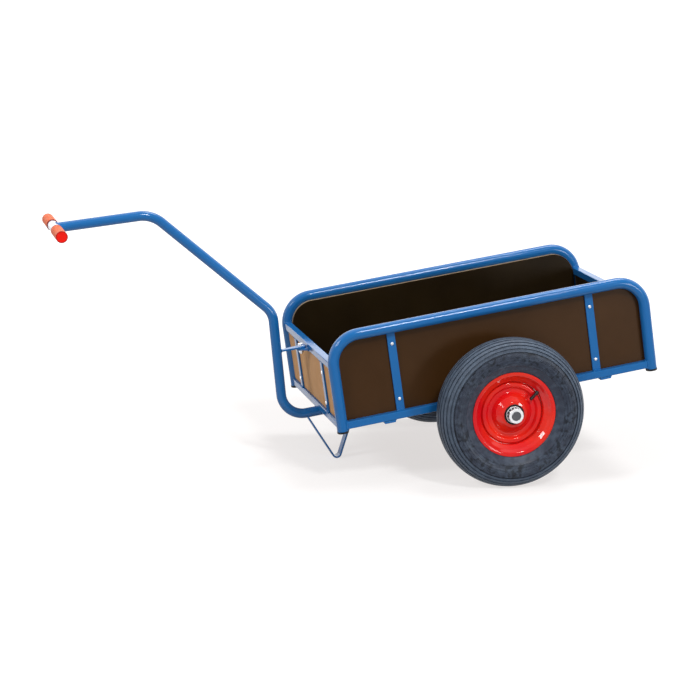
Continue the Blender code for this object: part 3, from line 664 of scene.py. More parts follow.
RIBLET_HEIGHT = 0.0009
RIBLET_HALF = 0.0008
RIBLET_SLOPE = 0.0004
SECTION_START = -60  # degrees from the sidewall's middle towards the crown
SECTION_SWEEP = 150
SECTION_STEPS = 3000
PLAIN_PITCH = 0.0032  # between the section's points where it is plain
CUT_MARGIN = 0.0006  # no plain point lies nearer than this to a groove or ring
ON_PLANE = 0.0001  # a point nearer the wheel's plane than this stands for both sides
TYRE_SEGMENTS = 160
TREAD_START = (0.168, 0.172)  # where the hatched ribs, paler from wear and a painted sheen, take over from the sidewall
HATCH_RADIUS = 0.19
MOTTLE_START = (0.124, 0.140)
MOTTLE = (75.0, 5.0)  # scale and detail of the sidewall's dark mottling
MOTTLE_EDGES = (0.68, 0.84)
MOTTLE_SHARE = 0.75
WEAR_SHEEN_AND_DUST_SHARES = (0.55, 0.45)  # how far the tread's wear with its painted sheen, and the dust, turn the rubber pale
CLOUD = (16.0, 4.0)
DUST = (70.0, 3.0)
DUST_EDGES = (0.65, 1.0)
GROOVE_SHADE_EDGES = (0.75, 1.2)  # where a groove's painted shade ends, in its half width
TREAD_HATCH = 0.0026  # spacing of the fine hatching on the ribs
RUBBER = (0.035, 0.044, 0.067)
RUBBER_PALE = (0.088, 0.118, 0.165)
# black for the sidewall's mottling and for the grooves' painted shade
RUBBER_BLACK_MOTTLE_AND_SHADE = (0.006, 0.007, 0.010)


def section_at(angle):
    """A point of the tyre's section, and its outward direction, at an angle from the sidewall's middle."""
    def power(value, exponent):
        return math.copysign(abs(value) ** exponent, value)
    share = 2 / TYRE_SQUARENESS
    point = Vector((TYRE_CENTRE + TYRE_HALF_HEIGHT * power(math.sin(angle), share),
                    TYRE_HALF_WIDTH * power(math.cos(angle), share)))
    out = Vector((power(math.sin(angle), 2 - share) / TYRE_HALF_HEIGHT,
                  power(math.cos(angle), 2 - share) / TYRE_HALF_WIDTH))
    return point, out.normalized()


def tyre_section():
    """Bead, sidewall with its faint rings, and grooved tread, on both sides of the wheel's plane."""
    fine = [section_at(math.radians(SECTION_START + SECTION_SWEEP * count / SECTION_STEPS))
            for count in range(SECTION_STEPS + 1)]
    fine = [entry for entry in fine if entry[0].x >= SIDEWALL_FOOT]
    lengths = [0.0]
    for before, after in zip(fine, fine[1:]):
        lengths.append(lengths[-1] + (after[0] - before[0]).length)
    marks = {}

    def mark(length, sink):
        index = min(range(len(lengths)), key=lambda at: abs(lengths[at] - length))
        marks[index] = sink

    for count in range(int(lengths[-1] / PLAIN_PITCH) + 1):
        mark(count * PLAIN_PITCH, 0.0)
    centres = []
    for height in GROOVES:
        index = min((at for at in range(len(fine)) if fine[at][0].x > TYRE_CENTRE),
                    key=lambda at: abs(fine[at][0].y - height))
        centres.append((lengths[index], GROOVE_HALF, GROOVE_DEPTH, GROOVE_SLOPE))
    for radius in RIBLETS:
        index = min(range(len(fine)), key=lambda at: abs(fine[at][0].x - radius))
        centres.append((lengths[index], RIBLET_HALF, -RIBLET_HEIGHT, RIBLET_SLOPE))
    for length, half, sink, slope in centres:
        for index in [at for at in marks if abs(lengths[at] - length) < half + CUT_MARGIN]:
            del marks[index]
        mark(length - half, 0.0)
        mark(length - half + slope, sink)
        mark(length + half - slope, sink)
        mark(length + half, 0.0)
    mark(lengths[-1], 0.0)
    side = [tuple(fine[index][0] - marks[index] * fine[index][1]) for index in sorted(marks)]
    half = [*BEAD, *side]
    return half + [(radius, -height) for radius, height in reversed(half) if height > ON_PLANE]


def wheel_place(side):
    """A wheel's own frame, its Z axis pointing outwards along the axle."""
    return Matrix.Translation(axle_middle + side * WHEEL_PLANE * box_side) @ towards(side)


def wheel_axes(finish, side):
    """Angle round the axle, distance from it and height over the wheel's plane, at a spot."""
    settings = {"vector_type": "POINT"}
    centre = -(axle_middle + side * WHEEL_PLANE * box_side)
    level = finish.node("ShaderNodeMapping", settings, {"Vector": finish.spot, "Location": centre})
    x, y, z = finish.axes(level)
    return finish.math("ARCTAN2", z, x), finish.math("SQRT", x * x + z * z), y


def tyre_finish(side_name, side):
    rubber = Finish(f"{side_name}_tyre_rubber", "tyre_rubber", 0.4, specular=0.24)
    angle, radius, height = wheel_axes(rubber, side)
    tread = rubber.step(radius, *TREAD_START)
    run = angle * (HATCH_RADIUS * math.tau / TREAD_HATCH)
    lean = height * (math.tau / TREAD_HATCH)
    hatch = rubber.math("SINE", run + lean) + rubber.math("SINE", run - lean)
    cloud = rubber.noise(*CLOUD)
    dust = rubber.step(rubber.noise(*DUST) + 0.6 * cloud, *DUST_EDGES)
    # painted sheen: the tread is painted paler, partly as wear and partly as a sheen
    worn = rubber.mix(WEAR_SHEEN_AND_DUST_SHARES[0] * tread + WEAR_SHEEN_AND_DUST_SHARES[1] * dust, RUBBER, RUBBER_PALE)
    mottle = rubber.step(rubber.noise(*MOTTLE) + 0.4 * cloud, *MOTTLE_EDGES)
    mottle = mottle * rubber.step(radius, *MOTTLE_START)
    worn = rubber.mix(MOTTLE_SHARE * mottle * (1.0 - tread), worn, RUBBER_BLACK_MOTTLE_AND_SHADE)
    from_middle = rubber.math("ABSOLUTE", height)
    # painted shade: the grooves are painted black, as shade in the recesses
    cut = 0.0
    for groove in GROOVES:
        reach = GROOVE_HALF * math.sqrt(1 - (groove / TYRE_HALF_WIDTH) ** 2)
        off = rubber.math("ABSOLUTE", from_middle - groove)
        cut = 1.0 - rubber.step(off, *(share * reach for share in GROOVE_SHADE_EDGES)) + cut
    rubber.paint(rubber.mix(tread * cut, worn, RUBBER_BLACK_MOTTLE_AND_SHADE))
    rubber.gloss(0.30 + 0.2 * cloud)
    rubber.relief(hatch * tread * 0.3 + rubber.noise(500.0, 2.0), 0.0003)
    return rubber


section = tyre_section()
for side_name, side in SIDES:
    fit_turned(f"{side_name}_tyre_casing", section, TYRE_SEGMENTS, wheel_place(side),
               tyre_finish(side_name, side), f"{side_name}_wheel", f"{side_name}_tyre")

# Rims, discs and hubs: a rolled steel rim and a pressed steel disc, gloss red enamel, and a black
# plastic hub with a steel roller bearing pushed into each end.
RIM_SHEET = 0.0025
RIM_PATH = ((0.1136, 0.0322), (0.1055, 0.0320), (0.0975, 0.0235), (0.0868, 0.0140))
RIM_BENDS = (0.0070, 0.010, 0.005)
DISC_PATH = ((0.0273, 0.0306), (0.0335, 0.0296), (0.0465, 0.0180), (0.0540, 0.0062), (0.0590, 0.0046),
             (0.0660, 0.0046), (0.0720, 0.0112), (0.0795, 0.0112), (0.0830, 0.0048), (0.0852, 0.0048))
DISC_BENDS = (0.004, 0.020, 0.006, 0.004, 0.003, 0.002, 0.002, 0.002)
HUB_RADIUS = 0.0270
HUB_HALF = 0.0340
HUB_ROUND = 0.0010
HUB_BORE = 0.0131
POCKET_RADIUS = 0.0230  # where a bearing is pushed into each end of the hub
POCKET_FOOT = 0.0240
RACE = (0.0200, 0.0228, 0.0242, 0.0325, 0.0005)  # bore, radius, foot, top and eased edge
SLEEVE = (0.0131, 0.0152, 0.0242, 0.0330, 0.0004)
ROLLERS = 12
ROLLER = ((0.0, 0.0), (0.0019, 0.0), (0.0022, 0.0004), (0.0022, 0.0066), (0.0019, 0.0070),
          (0.0, 0.0070))
ROLLER_SIDES = 16
ROLLER_RING = 0.0176
ROLLER_FOOT = 0.0244
SHEET_SEGMENTS = 128
HUB_SEGMENTS = 64
RED = (0.820, 0.026, 0.009)
RED_DEEP = (0.720, 0.004, 0.010)

red_enamel = Finish("red_enamel", "red_enamel", 0.08, specular=0.45).varied(
    (RED_DEEP, RED), cloud=(8.0,), edges=(0.35, 0.65), relief=(0.00008, 210.0, 1.0),
    gloss=(0.04, 0.06, 45.0))


def sheet_section(path, thickness):
    """A closed section of a sheet with the path as its middle."""
    over = []
    under = []
    for index, point in enumerate(path):
        run = path[min(index + 1, len(path) - 1)] - path[max(index - 1, 0)]
        across = Vector((-run.y, run.x)).normalized() * (thickness / 2)
        over.append(tuple(point + across))
        under.append(tuple(point - across))
    return over + under[::-1]


def mirrored(path):
    """The same points on the inner side of the wheel's plane, back from the last."""
    return [(radius, -height) for radius, height in reversed(path)]


rim_path = rounded([*RIM_PATH, *mirrored(RIM_PATH)], (*RIM_BENDS, *reversed(RIM_BENDS)))
rim_section = sheet_section(rim_path, RIM_SHEET)
disc_section = sheet_section(rounded(DISC_PATH, DISC_BENDS), RIM_SHEET)
hub_end = [(POCKET_RADIUS, HUB_HALF),
           *quarter(HUB_RADIUS - HUB_ROUND, HUB_HALF - HUB_ROUND, HUB_ROUND, 90, 0, 3)]
hub_section = [*hub_end, *mirrored(hub_end), (POCKET_RADIUS, -POCKET_FOOT), (HUB_BORE, -POCKET_FOOT),
               (HUB_BORE, POCKET_FOOT), (POCKET_RADIUS, POCKET_FOOT)]
turned_parts = (("rim_rolled", rim_section, SHEET_SEGMENTS, red_enamel, "rim"),
                ("disc_pressed", disc_section, SHEET_SEGMENTS, red_enamel, "wheel_disc"),
                ("hub_body", hub_section, HUB_SEGMENTS, black_plastic, "hub"))
one_roller = turned_piece("roller", ROLLER, ROLLER_SIDES, Matrix.Identity(4))
for side_name, side in SIDES:
    wheel = f"{side_name}_wheel"
    place = wheel_place(side)
    for kind, section, segments, finish, replaced in turned_parts:
        fit_turned(f"{side_name}_{kind}", section, segments, place, finish, wheel,
                   f"{side_name}_{replaced}")
    for end_name, end in (("outer", 1), ("inner", -1)):
        turn = place @ Matrix.Rotation(0.0 if end > 0 else math.pi, 4, "X")
        for kind, sizes in (("race", RACE), ("sleeve", SLEEVE)):
            fit_turned(f"{side_name}_{end_name}_{kind}", ring_section(*sizes), HUB_SEGMENTS, turn,
                       zinc, wheel)
        facing = (turn.to_3x3() @ Vector((0, 0, 1))).normalized()
        spots = []
        for count in range(ROLLERS):
            angle = math.tau * count / ROLLERS
            spot = Vector((ROLLER_RING * math.cos(angle), ROLLER_RING * math.sin(angle), ROLLER_FOOT))
            spots.append((turn @ spot, facing))
        fit(set_out(f"{side_name}_{end_name}_rollers", spots, one_roller, zinc), zinc, wheel)
bpy.data.objects.remove(one_roller, do_unlink=True)

# Valves: a black rubber stem, thick at its root, that is pulled through the rim's well from the tyre's
# side and leans outwards past the disc, with a plain plastic cap screwed on its end.
VALVE_ROOT = 0.0872  # from the wheel's axis
VALVE_SEAT = 0.0160  # outboard of the wheel's plane
VALVE_LEAN = math.radians(18)
VALVE_TURN = math.radians(140.5)
STEM = ((0.0, 0.0), (0.0050, 0.0), (0.0050, 0.0050), (0.0046, 0.0085), (0.0040, 0.0115), (0.0036, 0.0175),
        (0.0, 0.0175))
CAP = ((0.0, 0.0172), (0.0042, 0.0172), (0.0046, 0.0178), (0.0046, 0.0275), (0.0040, 0.0292),
       (0.0026, 0.0298), (0.0, 0.0300))
VALVE_SIDES = 24
for side_name, side in SIDES:
    inward = Vector((-math.cos(VALVE_LEAN), math.sin(VALVE_LEAN)))
    turn_x = math.cos(VALVE_TURN)
    turn_z = math.sin(VALVE_TURN)
    root = axle_middle + Vector((VALVE_ROOT * turn_x, side * (WHEEL_PLANE + VALVE_SEAT),
                                 VALVE_ROOT * turn_z))
    aim = Vector((inward.x * turn_x, side * inward.y, inward.x * turn_z))
    place = Matrix.Translation(root) @ aim.to_track_quat("Z", "Y").to_matrix().to_4x4()
    fit_turned(f"{side_name}_valve_stem", STEM, VALVE_SIDES, place, black_plastic,
               f"{side_name}_wheel", f"{side_name}_valve")
    fit_turned(f"{side_name}_valve_cap", CAP, VALVE_SIDES, place, black_plastic, f"{side_name}_wheel")

# Drawbar: one steel tube, bent down from the handle, round under the front rail and welded to it, in
# the same blue enamel as the box.
DRAWBAR_RADIUS = 0.0135
HANDLE = (1.066, 0.0, 0.6365)
DRAWBAR_PATH = ((1.063, 0.0, 0.6364), (0.8075, 0.0, 0.6262), (0.5248, 0.0, 0.3020), (0.5385, 0.0, 0.0065),
                (0.4270, 0.0, 0.0065))
DRAWBAR_BENDS = (0.0, 0.082, 0.062, 0.062, 0.0)
MOUTH_HALF = 0.02  # half the length of what copes its end to the handle
MOUTH_SIDES = 64
drawbar = tube_run.run(path_piece("drawbar_tube", DRAWBAR_PATH, DRAWBAR_BENDS), blue_enamel,
                       Radius=DRAWBAR_RADIUS)
mouth_place = box_place @ Matrix.Translation(HANDLE) @ towards(-1)
mouth_section = [(0.0, MOUTH_HALF), (DRAWBAR_RADIUS, MOUTH_HALF), (DRAWBAR_RADIUS, -MOUTH_HALF),
                 (0.0, -MOUTH_HALF)]
cut_away(drawbar, turned_piece("mouth", mouth_section, MOUTH_SIDES, mouth_place))
fit(smooth(drawbar), blue_enamel, "cart", "drawbar")

# Handle: a plated cross bar on the drawbar's end, with a moulded orange-red grip on each half. A grip
# has a closed end, a raised ring at its inner end and fine rings along its length. Shade is painted dark
# into the rings' grooves and onto the grip's inner end, and the rim round its closed end is painted darker.
HANDLE_HALF = 0.153
HANDLE_CHAMFER = 0.001
GRIP_RADIUS = 0.01575
GRIP_START = 0.0463
GRIP_END = 0.1563
GRIP_PITCH = 0.0064  # spacing of the grip's rings
GRIP_RING = 0.0009  # height of the grip's rings
RING_STEPS = ((0.0, 1), (0.30, 0), (0.55, 0), (0.85, 1))  # along one pitch, 1 where it is sunk
RINGS_START = 0.0060  # from the grip's inner end
RINGS_END = 0.0070  # from its closed end
GRIP_GAP = 0.0002  # to the bar inside it
GRIP_SKIN = 0.0001  # the rings' tops inside the grip's full radius
GRIP_EASE = 0.0004
COLLAR_END = 0.0030
COLLAR_SLOPE = 0.0006
LAST_RING = 0.0050  # from the closed end to the last ring's outer edge
END_ROUND = 0.0014
END_RIM = 0.0030  # width of the raised rim round the closed end
RIM_EDGE = 0.0022
LINE_SHIFT = 0.93  # where a ring's painted groove shade is, along its pitch
LINE_EDGES = (0.0005, 0.0013)  # from the middle of a line to where it ends
INNER_EDGES = (0.0040, 0.0032)
CLOSED_EDGES = (0.0016, 0.0010)
ORANGE = (0.78, 0.135, 0.042)
ORANGE_PALE = (0.84, 0.190, 0.075)
# painted shade, in the grooves and on the inner end, and weaker on the closed end's rim
GRIP_GROOVE_SHADE = (0.30, 0.018, 0.008)
END_RED = (0.90, 0.014, 0.008)
PLATE_GREY = (0.50, 0.51, 0.56)
PLATE_PALE = (0.62, 0.63, 0.68)

bright_zinc = Finish("bright_zinc", "zinc", 0.3, 0.9).varied(
    (PLATE_GREY, PLATE_PALE), cloud=(60.0, 3.0), relief=(0.00003, 900.0), gloss=(0.24, 0.16, 180.0))

bar_place = box_place @ Matrix.Translation(HANDLE)
grip_plastic = Finish("grip_plastic", "grip_plastic", 0.35, specular=0.08)
x, y, z = grip_plastic.axes(grip_plastic.moved(bar_place))
out = grip_plastic.math("ABSOLUTE", y)
from_bar = grip_plastic.math("SQRT", x * x + z * z)
closed_end = grip_plastic.step(out, *(GRIP_END - edge for edge in CLOSED_EDGES))
end_rim = closed_end * grip_plastic.step(from_bar, GRIP_RADIUS - END_RIM, GRIP_RADIUS - RIM_EDGE)
inner_end_shade = grip_plastic.step(out, *(GRIP_START + edge for edge in INNER_EDGES))
line = out - GRIP_START - RINGS_START - LINE_SHIFT * GRIP_PITCH
line = grip_plastic.math("PINGPONG", line, GRIP_PITCH / 2)
# painted shade: dark lines in the rings' grooves and over the grip's inner end
groove_shade_line = (1.0 - grip_plastic.step(line, *LINE_EDGES)) * (1.0 - closed_end)
orange = grip_plastic.mix(grip_plastic.noise(30.0, 3.0), ORANGE, ORANGE_PALE)
dark = grip_plastic.math("MAXIMUM", groove_shade_line, grip_plastic.math("MAXIMUM", inner_end_shade, 0.7 * end_rim))
grip_plastic.paint(grip_plastic.mix(dark, grip_plastic.mix(closed_end, orange, END_RED), GRIP_GROOVE_SHADE))
grip_plastic.gloss(0.30 + 0.14 * grip_plastic.noise(90.0))
grip_plastic.relief(grip_plastic.noise(1200.0), 0.00005)

handle_section = bar_section(DRAWBAR_RADIUS, HANDLE_HALF, HANDLE_CHAMFER)
fit_turned("handle_cross_bar", handle_section, TURNED_SIDES, bar_place @ towards(1), bright_zinc,
           "cart", "handle_bar")


def grip_section():
    """A grip along its own axis, from its inner ring to its closed end."""
    bore = DRAWBAR_RADIUS + GRIP_GAP
    bottom = HANDLE_HALF + GRIP_GAP
    end_face = GRIP_END - GRIP_EASE
    section = [(bore, GRIP_START), (GRIP_RADIUS - GRIP_EASE, GRIP_START),
               (GRIP_RADIUS, GRIP_START + GRIP_EASE), (GRIP_RADIUS, GRIP_START + COLLAR_END),
               (GRIP_RADIUS - COLLAR_SLOPE, GRIP_START + COLLAR_END + COLLAR_SLOPE)]
    length = GRIP_START + RINGS_START
    while length < GRIP_END - RINGS_END:
        for along, sunk in RING_STEPS:
            section.append((GRIP_RADIUS - sunk * GRIP_RING - GRIP_SKIN, length + along * GRIP_PITCH))
        length += GRIP_PITCH
    section += [(GRIP_RADIUS, GRIP_END - LAST_RING), (GRIP_RADIUS, GRIP_END - CLOSED_EDGES[0]),
                *quarter(GRIP_RADIUS - END_ROUND, GRIP_END - END_ROUND, END_ROUND, 0, 90, 4),
                (GRIP_RADIUS - END_RIM, GRIP_END), (GRIP_RADIUS - END_RIM - COLLAR_SLOPE, end_face),
                (0.0, end_face), (0.0, bottom), (bore, bottom)]
    return section


for side_name, side in SIDES:
    fit_turned(f"{side_name}_grip_sleeve", grip_section(), TURNED_SIDES, bar_place @ towards(side),
               grip_plastic, "cart", f"{side_name}_grip")

# Stay: a flat bar from the drawbar, bolted down on a lug of the front top rail by a zinc-plated hexagon
# bolt and nut, each on a washer. The park stand below is a flat bar bent into a V.
BOLT_REACH = 0.462
BOLT_RADIUS = 0.004
STAY_TOP = 0.1955
LUG_FOOT = 0.1852
HEX_HALF = 0.0065  # half the bolt head's width across its flats
HEX_HEIGHT = 0.0053
WASHER_RADIUS = 0.0080
WASHER = 0.0016
WASHER_BORE = 0.0042
WASHER_EASE = 0.0003
WASHER_SEAT = 0.0001
WASHER_SIDES = 40
SHANK_SIDES = 24
SHANK_DROP = 0.0105  # how far the bolt's shank comes out below the lug
SHANK_RISE = 0.0040
SHANK_CHAMFER = 0.0005
STAY_EASE = 0.0007
HEX_EASE = 0.0004
for name in ("drawbar_stay", "stay_lug", "park_stand"):
    eased_copy(name, STAY_EASE, 2, [blue_enamel])


def hexagon(name, height, place):
    """A hexagon prism with the corners of its faces turned off."""
    shape = bmesh.new()
    corner = HEX_HALF / math.cos(math.radians(30))
    bmesh.ops.create_cone(shape, cap_ends=True, segments=6, radius1=corner, radius2=corner, depth=height)
    ease_edges(shape, HEX_EASE, 2)
    bmesh.ops.transform(shape, matrix=place @ Matrix.Translation((0, 0, height / 2)), verts=shape.verts)
    return smooth(from_shape(name, shape))


bolt_place = box_place @ Matrix.Translation((BOLT_REACH, 0.0, 0.0))
top = bolt_place @ Matrix.Translation((0, 0, STAY_TOP))
foot = bolt_place @ Matrix.Translation((0, 0, LUG_FOOT)) @ Matrix.Rotation(math.pi, 4, "X")
shank_foot = LUG_FOOT - SHANK_DROP
shank_section = [(0.0, shank_foot), (BOLT_RADIUS - SHANK_CHAMFER, shank_foot),
                 (BOLT_RADIUS, shank_foot + SHANK_CHAMFER), (BOLT_RADIUS, STAY_TOP + SHANK_RISE),
                 (0.0, STAY_TOP + SHANK_RISE)]
fit_turned("stay_bolt_shank", shank_section, SHANK_SIDES, bolt_place, zinc, "cart", "stay_bolt")
washer_section = ring_section(WASHER_BORE, WASHER_RADIUS, WASHER_SEAT, WASHER, WASHER_EASE)
for name, place in (("stay_bolt_head", top), ("stay_nut", foot)):
    fit_turned(f"{name}_washer", washer_section, WASHER_SIDES, place, zinc)
    fit(hexagon(name, HEX_HEIGHT, place @ Matrix.Translation((0, 0, WASHER))), zinc)

# Weld beads: laid by hand where tube meets tube and bar meets rail, rippled, and painted over with the
# frame. A node tree lays a bead along each seam.
BEAD_RADIUS = 0.0019
BEAD_SIDES = 8
BEAD_STEP = 0.0005
BEAD_SWELL = (0.80, 0.13, 0.40)  # a bead's size: plain, by its ripple, by chance
BEAD_NOISE = 190.0
RIPPLE = 0.0019  # length of one ripple of a bead
RAIL_HALF = 0.010
SEAM_GAP = 0.0004  # from the tube to the middle of a bead
RAIL_MIDDLES = (0.0303, 0.1936)  # heights of the bottom and end rails
SIDE_BARS = (0.2725, -0.2802)
SIDE_BAR_ENDS = (0.0405, 0.2525)
SIDE_SEAM = 0.2755  # from the cart's centre plane
END_BAR_ENDS = (0.0405, 0.1834)
END_SEAM = 0.0003  # outside the end bars' faces
BAR_SEAM = (-0.010, 0.010)  # a seam's ends, each way from the bar's middle
UNDER_RAIL = (0.2715, 0.2890)  # a seam's ends under a bottom rail, from the centre plane
UNDER_SEAMS = ((0.3240, 0.0198), (0.2930, 0.0198), (-0.2825, 0.0198), (-0.3135, 0.0198),
               (0.0305, 0.0198), (-0.0305, 0.0198), (0.0075, 0.0117), (-0.0075, 0.0117))
LONG_SEAMS = ((0.4280, 0.4460, 0.0085, 0.0195),  # start, stop, off the centre plane, height
              (0.2960, 0.3210, 0.0145, 0.0135))
MOUTH_STEPS = 48
MOUTH_SHARE = 0.38  # how near the cope comes to the handle's middle, above and below
STAY_SEAMS = (0.1905, 0.1955)
LUG_SEAMS = (0.1852, 0.1902)
LUG_SEAM = 0.4474
LUG_SEAM_HALF = 0.027

bead_run = Pattern("bead_run", (("Radius", "Float"), ("Ripple", "Float")))
run = bead_run.node("GeometryNodeMeshToCurve", {}, {"Mesh": bead_run.given("Geometry")})
run = bead_run.node("GeometryNodeResampleCurve", {"mode": "LENGTH"}, {"Curve": run, "Length": BEAD_STEP})
length = bead_run.node("GeometryNodeSplineParameter", {}, {}, "Length")
swell = bead_run.math("SINE", length * math.tau / bead_run.given("Ripple"))
worn = bead_run.node("ShaderNodeTexNoise", {}, {"Scale": BEAD_NOISE})
swell = BEAD_SWELL[0] + BEAD_SWELL[1] * swell + BEAD_SWELL[2] * worn
ring = bead_run.node("GeometryNodeCurvePrimitiveCircle", {"mode": "RADIUS"},
                     {"Resolution": BEAD_SIDES, "Radius": bead_run.given("Radius")})
bead_run.close(bead_run.node("GeometryNodeCurveToMesh", {},
                             {"Curve": run, "Profile Curve": ring, "Scale": swell, "Fill Caps": True}))

x_axis, y_axis, z_axis = Matrix.Identity(3)


def coped_seam(centre, across, along, reach):
    """Where a square rail's end meets a round post: a loop round the rail, dished to the post."""
    points = []
    offsets = [RAIL_HALF * (count / 5 - 1) for count in range(11)]
    for edge, order in ((RAIL_HALF, offsets), (-RAIL_HALF, offsets[::-1])):
        for offset in order:
            stand_off = math.sqrt(FRAME_TUBE_RADIUS ** 2 - offset ** 2) + SEAM_GAP
            points.append(centre + across * offset + along * (reach * stand_off) + z_axis * edge)
    return points


seams = []  # each a path, and whether it closes
for side in (1, -1):
    for post, inward in ((FRONT_POST, -1), (REAR_POST, 1)):
        centres = [Vector((post, side * FRAME_PLANE, height)) for height in RAIL_MIDDLES]
        for centre in centres:
            seams.append((coped_seam(centre, x_axis, y_axis, -side), True))
        seams.append((coped_seam(centres[0], y_axis, x_axis, inward), True))
    for reach in SIDE_BARS:
        for height in SIDE_BAR_ENDS:
            seams.append(([(reach + shift, side * SIDE_SEAM, height) for shift in BAR_SEAM], False))
    for reach in (FRONT_FACE + END_SEAM, -REAR_FACE - END_SEAM):
        for height in END_BAR_ENDS:
            seams.append(([(reach, side * END_BARS + shift, height) for shift in BAR_SEAM], False))
    for reach, height in UNDER_SEAMS:
        seams.append(([(reach, side * away, height) for away in UNDER_RAIL], False))
    for start, stop, away, height in LONG_SEAMS:
        seams.append(([(start, side * away, height), (stop, side * away, height)], False))
slope = (Vector(DRAWBAR_PATH[1]) - Vector(HANDLE)).normalized()
lift = slope.cross(y_axis)
seam = []
for count in range(MOUTH_STEPS):
    angle = math.tau * count / MOUTH_STEPS
    stand_off = DRAWBAR_RADIUS * max(abs(math.cos(angle)), MOUTH_SHARE) + SEAM_GAP
    spot = Vector(HANDLE) + slope * stand_off
    seam.append(spot + DRAWBAR_RADIUS * (y_axis * math.cos(angle) + lift * math.sin(angle)))
seams.append((seam, True))
knee, heel = DRAWBAR_PATH[2], DRAWBAR_PATH[3]
lean = (heel[0] - knee[0]) / (knee[2] - heel[2])
for height in STAY_SEAMS:
    middle = knee[0] + lean * (knee[2] - height)
    turns = [math.radians(150 + 60 * count / 8) for count in range(9)]
    seams.append(([(middle + DRAWBAR_RADIUS * math.cos(turn), DRAWBAR_RADIUS * math.sin(turn), height)
                   for turn in turns], False))
for height in LUG_SEAMS:
    seams.append(([(LUG_SEAM, -LUG_SEAM_HALF, height), (LUG_SEAM, LUG_SEAM_HALF, height)], False))
merged = bmesh.new()
for points, closed in seams:
    bead = bead_run.run(path_piece("bead", points, None, closed), blue_enamel,
                        Radius=BEAD_RADIUS, Ripple=RIPPLE)
    merged.from_mesh(bead.data)
    bpy.data.objects.remove(bead, do_unlink=True)
fit(smooth(from_shape("weld_beads", merged), 80), blue_enamel)

# The studio: a pale floor that keeps the cart's shadow, three softboxes above the cart and a low one at
# the camera's right, and a surround that is white behind the cart, also in its gloss, and dark in front.
FLOOR = (0.35, 0.35, 0.35)
FLOOR_LIFT = (0.69, 0.665, 0.655)
WHITE = (1.0, 1.0, 1.0)
BLACK = (0.0, 0.0, 0.0)
SURROUND = 0.34
DARK_SIDE = 0.42  # how bright the camera's side of the studio is in the cart's gloss
FAR_SIDE = 2.0  # and how bright the side behind the cart
NEAR_FLOOR = (0.40, 0.85)  # where the dark part of the floor sets in, towards the camera
LIFT_REACH = (1.0, 2.6)  # where the floor turns from shadowed to white, from the cart
GLOSS_EDGES = (-0.1, 0.5)  # where the surround turns from its far side to its near one
FLOOR_REACH = 30.0
FLOOR_DROP = -0.0004
LAMP_TARGET = (-0.1, 0.0, 0.3)
LAMP_DISTANCE = 9.0
SOFTBOXES = (("near_softbox", (-0.13, 0.70, 0.70), 1.4, 0.40),  # direction, size, and what it
             ("low_softbox", (-0.50, 0.86, 0.08), 1.6, 0.20),  # adds to white that faces it
             ("front_softbox", (0.80, 0.45, 0.60), 2.0, 0.30),
             ("top_softbox", (-0.30, -0.12, 0.94), 3.2, 0.44))


def light_path(graph):
    """1 for what the camera sees, and 1 for what gloss and glass show."""
    path = graph.tree.nodes.new("ShaderNodeLightPath")
    shown = Value(graph, path.outputs["Is Glossy Ray"]) + Value(graph, path.outputs["Is Transmission Ray"])
    return Value(graph, path.outputs["Is Camera Ray"]), graph.math("MINIMUM", shown, 1.0)


studio_floor = Finish("studio_floor", "", 0.95, specular=0.0)
seen, shown = light_path(studio_floor)
x, y, z = studio_floor.axes(studio_floor.spot)
dark = shown * studio_floor.step(y, *NEAR_FLOOR) * (1.0 - DARK_SIDE)
far_off = studio_floor.step(studio_floor.math("SQRT", x * x + y * y), *LIFT_REACH)
studio_floor.paint(studio_floor.mix(dark, FLOOR, BLACK))
lift = studio_floor.mix(far_off, FLOOR_LIFT, WHITE)
lift = studio_floor.mix(studio_floor.math("MINIMUM", seen + shown, 1.0), BLACK, lift)
studio_floor.join(studio_floor.mix(dark, lift, BLACK), studio_floor.shader.inputs["Emission Color"])
studio_floor.shader.inputs["Emission Strength"].default_value = 1.0
shape = bmesh.new()
bmesh.ops.create_grid(shape, x_segments=1, y_segments=1, size=FLOOR_REACH,
                      matrix=Matrix.Translation((0, 0, FLOOR_DROP)))
floor = from_shape("studio_floor", shape)
floor.data.materials.append(studio_floor.material)

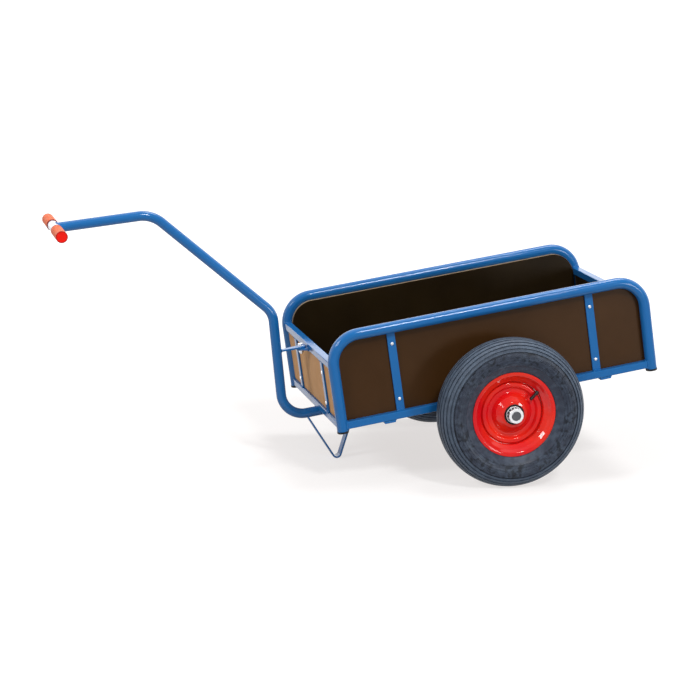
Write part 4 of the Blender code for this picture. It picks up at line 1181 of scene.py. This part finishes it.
world = bpy.data.worlds.new("studio")
world.use_nodes = True
bpy.context.scene.world = world
surround = Graph(world.node_tree)
seen, shown = light_path(surround)
parts = world.node_tree.nodes.new("ShaderNodeSeparateXYZ")
surround.join(surround.node("ShaderNodeTexCoord", {}, {}, "Generated"), parts.inputs[0])
side = surround.node("ShaderNodeMapRange", {"interpolation_type": "SMOOTHSTEP"},
                     {"Value": Value(surround, parts.outputs[1]), "From Min": GLOSS_EDGES[0],
                      "From Max": GLOSS_EDGES[1], "To Min": FAR_SIDE, "To Max": DARK_SIDE})
level = seen + shown * side
rest = 1.0 - surround.math("MINIMUM", seen + shown, 1.0)
backdrop = world.node_tree.nodes["Background"]
surround.join(level + SURROUND * rest, backdrop.inputs["Strength"])
surround.join(WHITE, backdrop.inputs["Color"])

for name, direction, size, level in SOFTBOXES:
    data = bpy.data.lights.new(name, "AREA")
    data.shape = "SQUARE"
    data.size = size
    data.energy = level * math.pi ** 2 * LAMP_DISTANCE ** 2
    lamp = bpy.data.objects.new(name, data)
    bpy.context.scene.collection.objects.link(lamp)
    aim = Vector(direction).normalized()
    lamp.location = Vector(LAMP_TARGET) + aim * LAMP_DISTANCE
    lamp.rotation_euler = aim.to_track_quat("Z", "Y").to_euler()

# Camera: where the photograph was taken from, with the turn and the focal length that bring the cart's
# tubes, wheel and handle where the photograph has them. Its place is in the box frame.
EYE = (1.594566, 5.900273, 1.653570)
EYE_RIGHT = (-0.96059134, 0.24133184, -0.13792469)
EYE_UP = (-0.18895945, -0.20303812, 0.96076524)
EYE_BACK = (0.20385927, 0.94896495, 0.24063859)
SENSOR = 36.0
LENS = 116.496
data = bpy.data.cameras.new("photo_view")
data.sensor_fit = "HORIZONTAL"
data.sensor_width = SENSOR
data.lens = LENS
data.clip_end = 100.0
camera = bpy.data.objects.new("photo_view", data)
bpy.context.scene.collection.objects.link(camera)
camera.matrix_world = box_place @ (Matrix.Translation(EYE)
                                   @ Matrix((EYE_RIGHT, EYE_UP, EYE_BACK)).transposed().to_4x4())
bpy.context.scene.camera = camera
bpy.context.scene.view_settings.view_transform = "Standard"
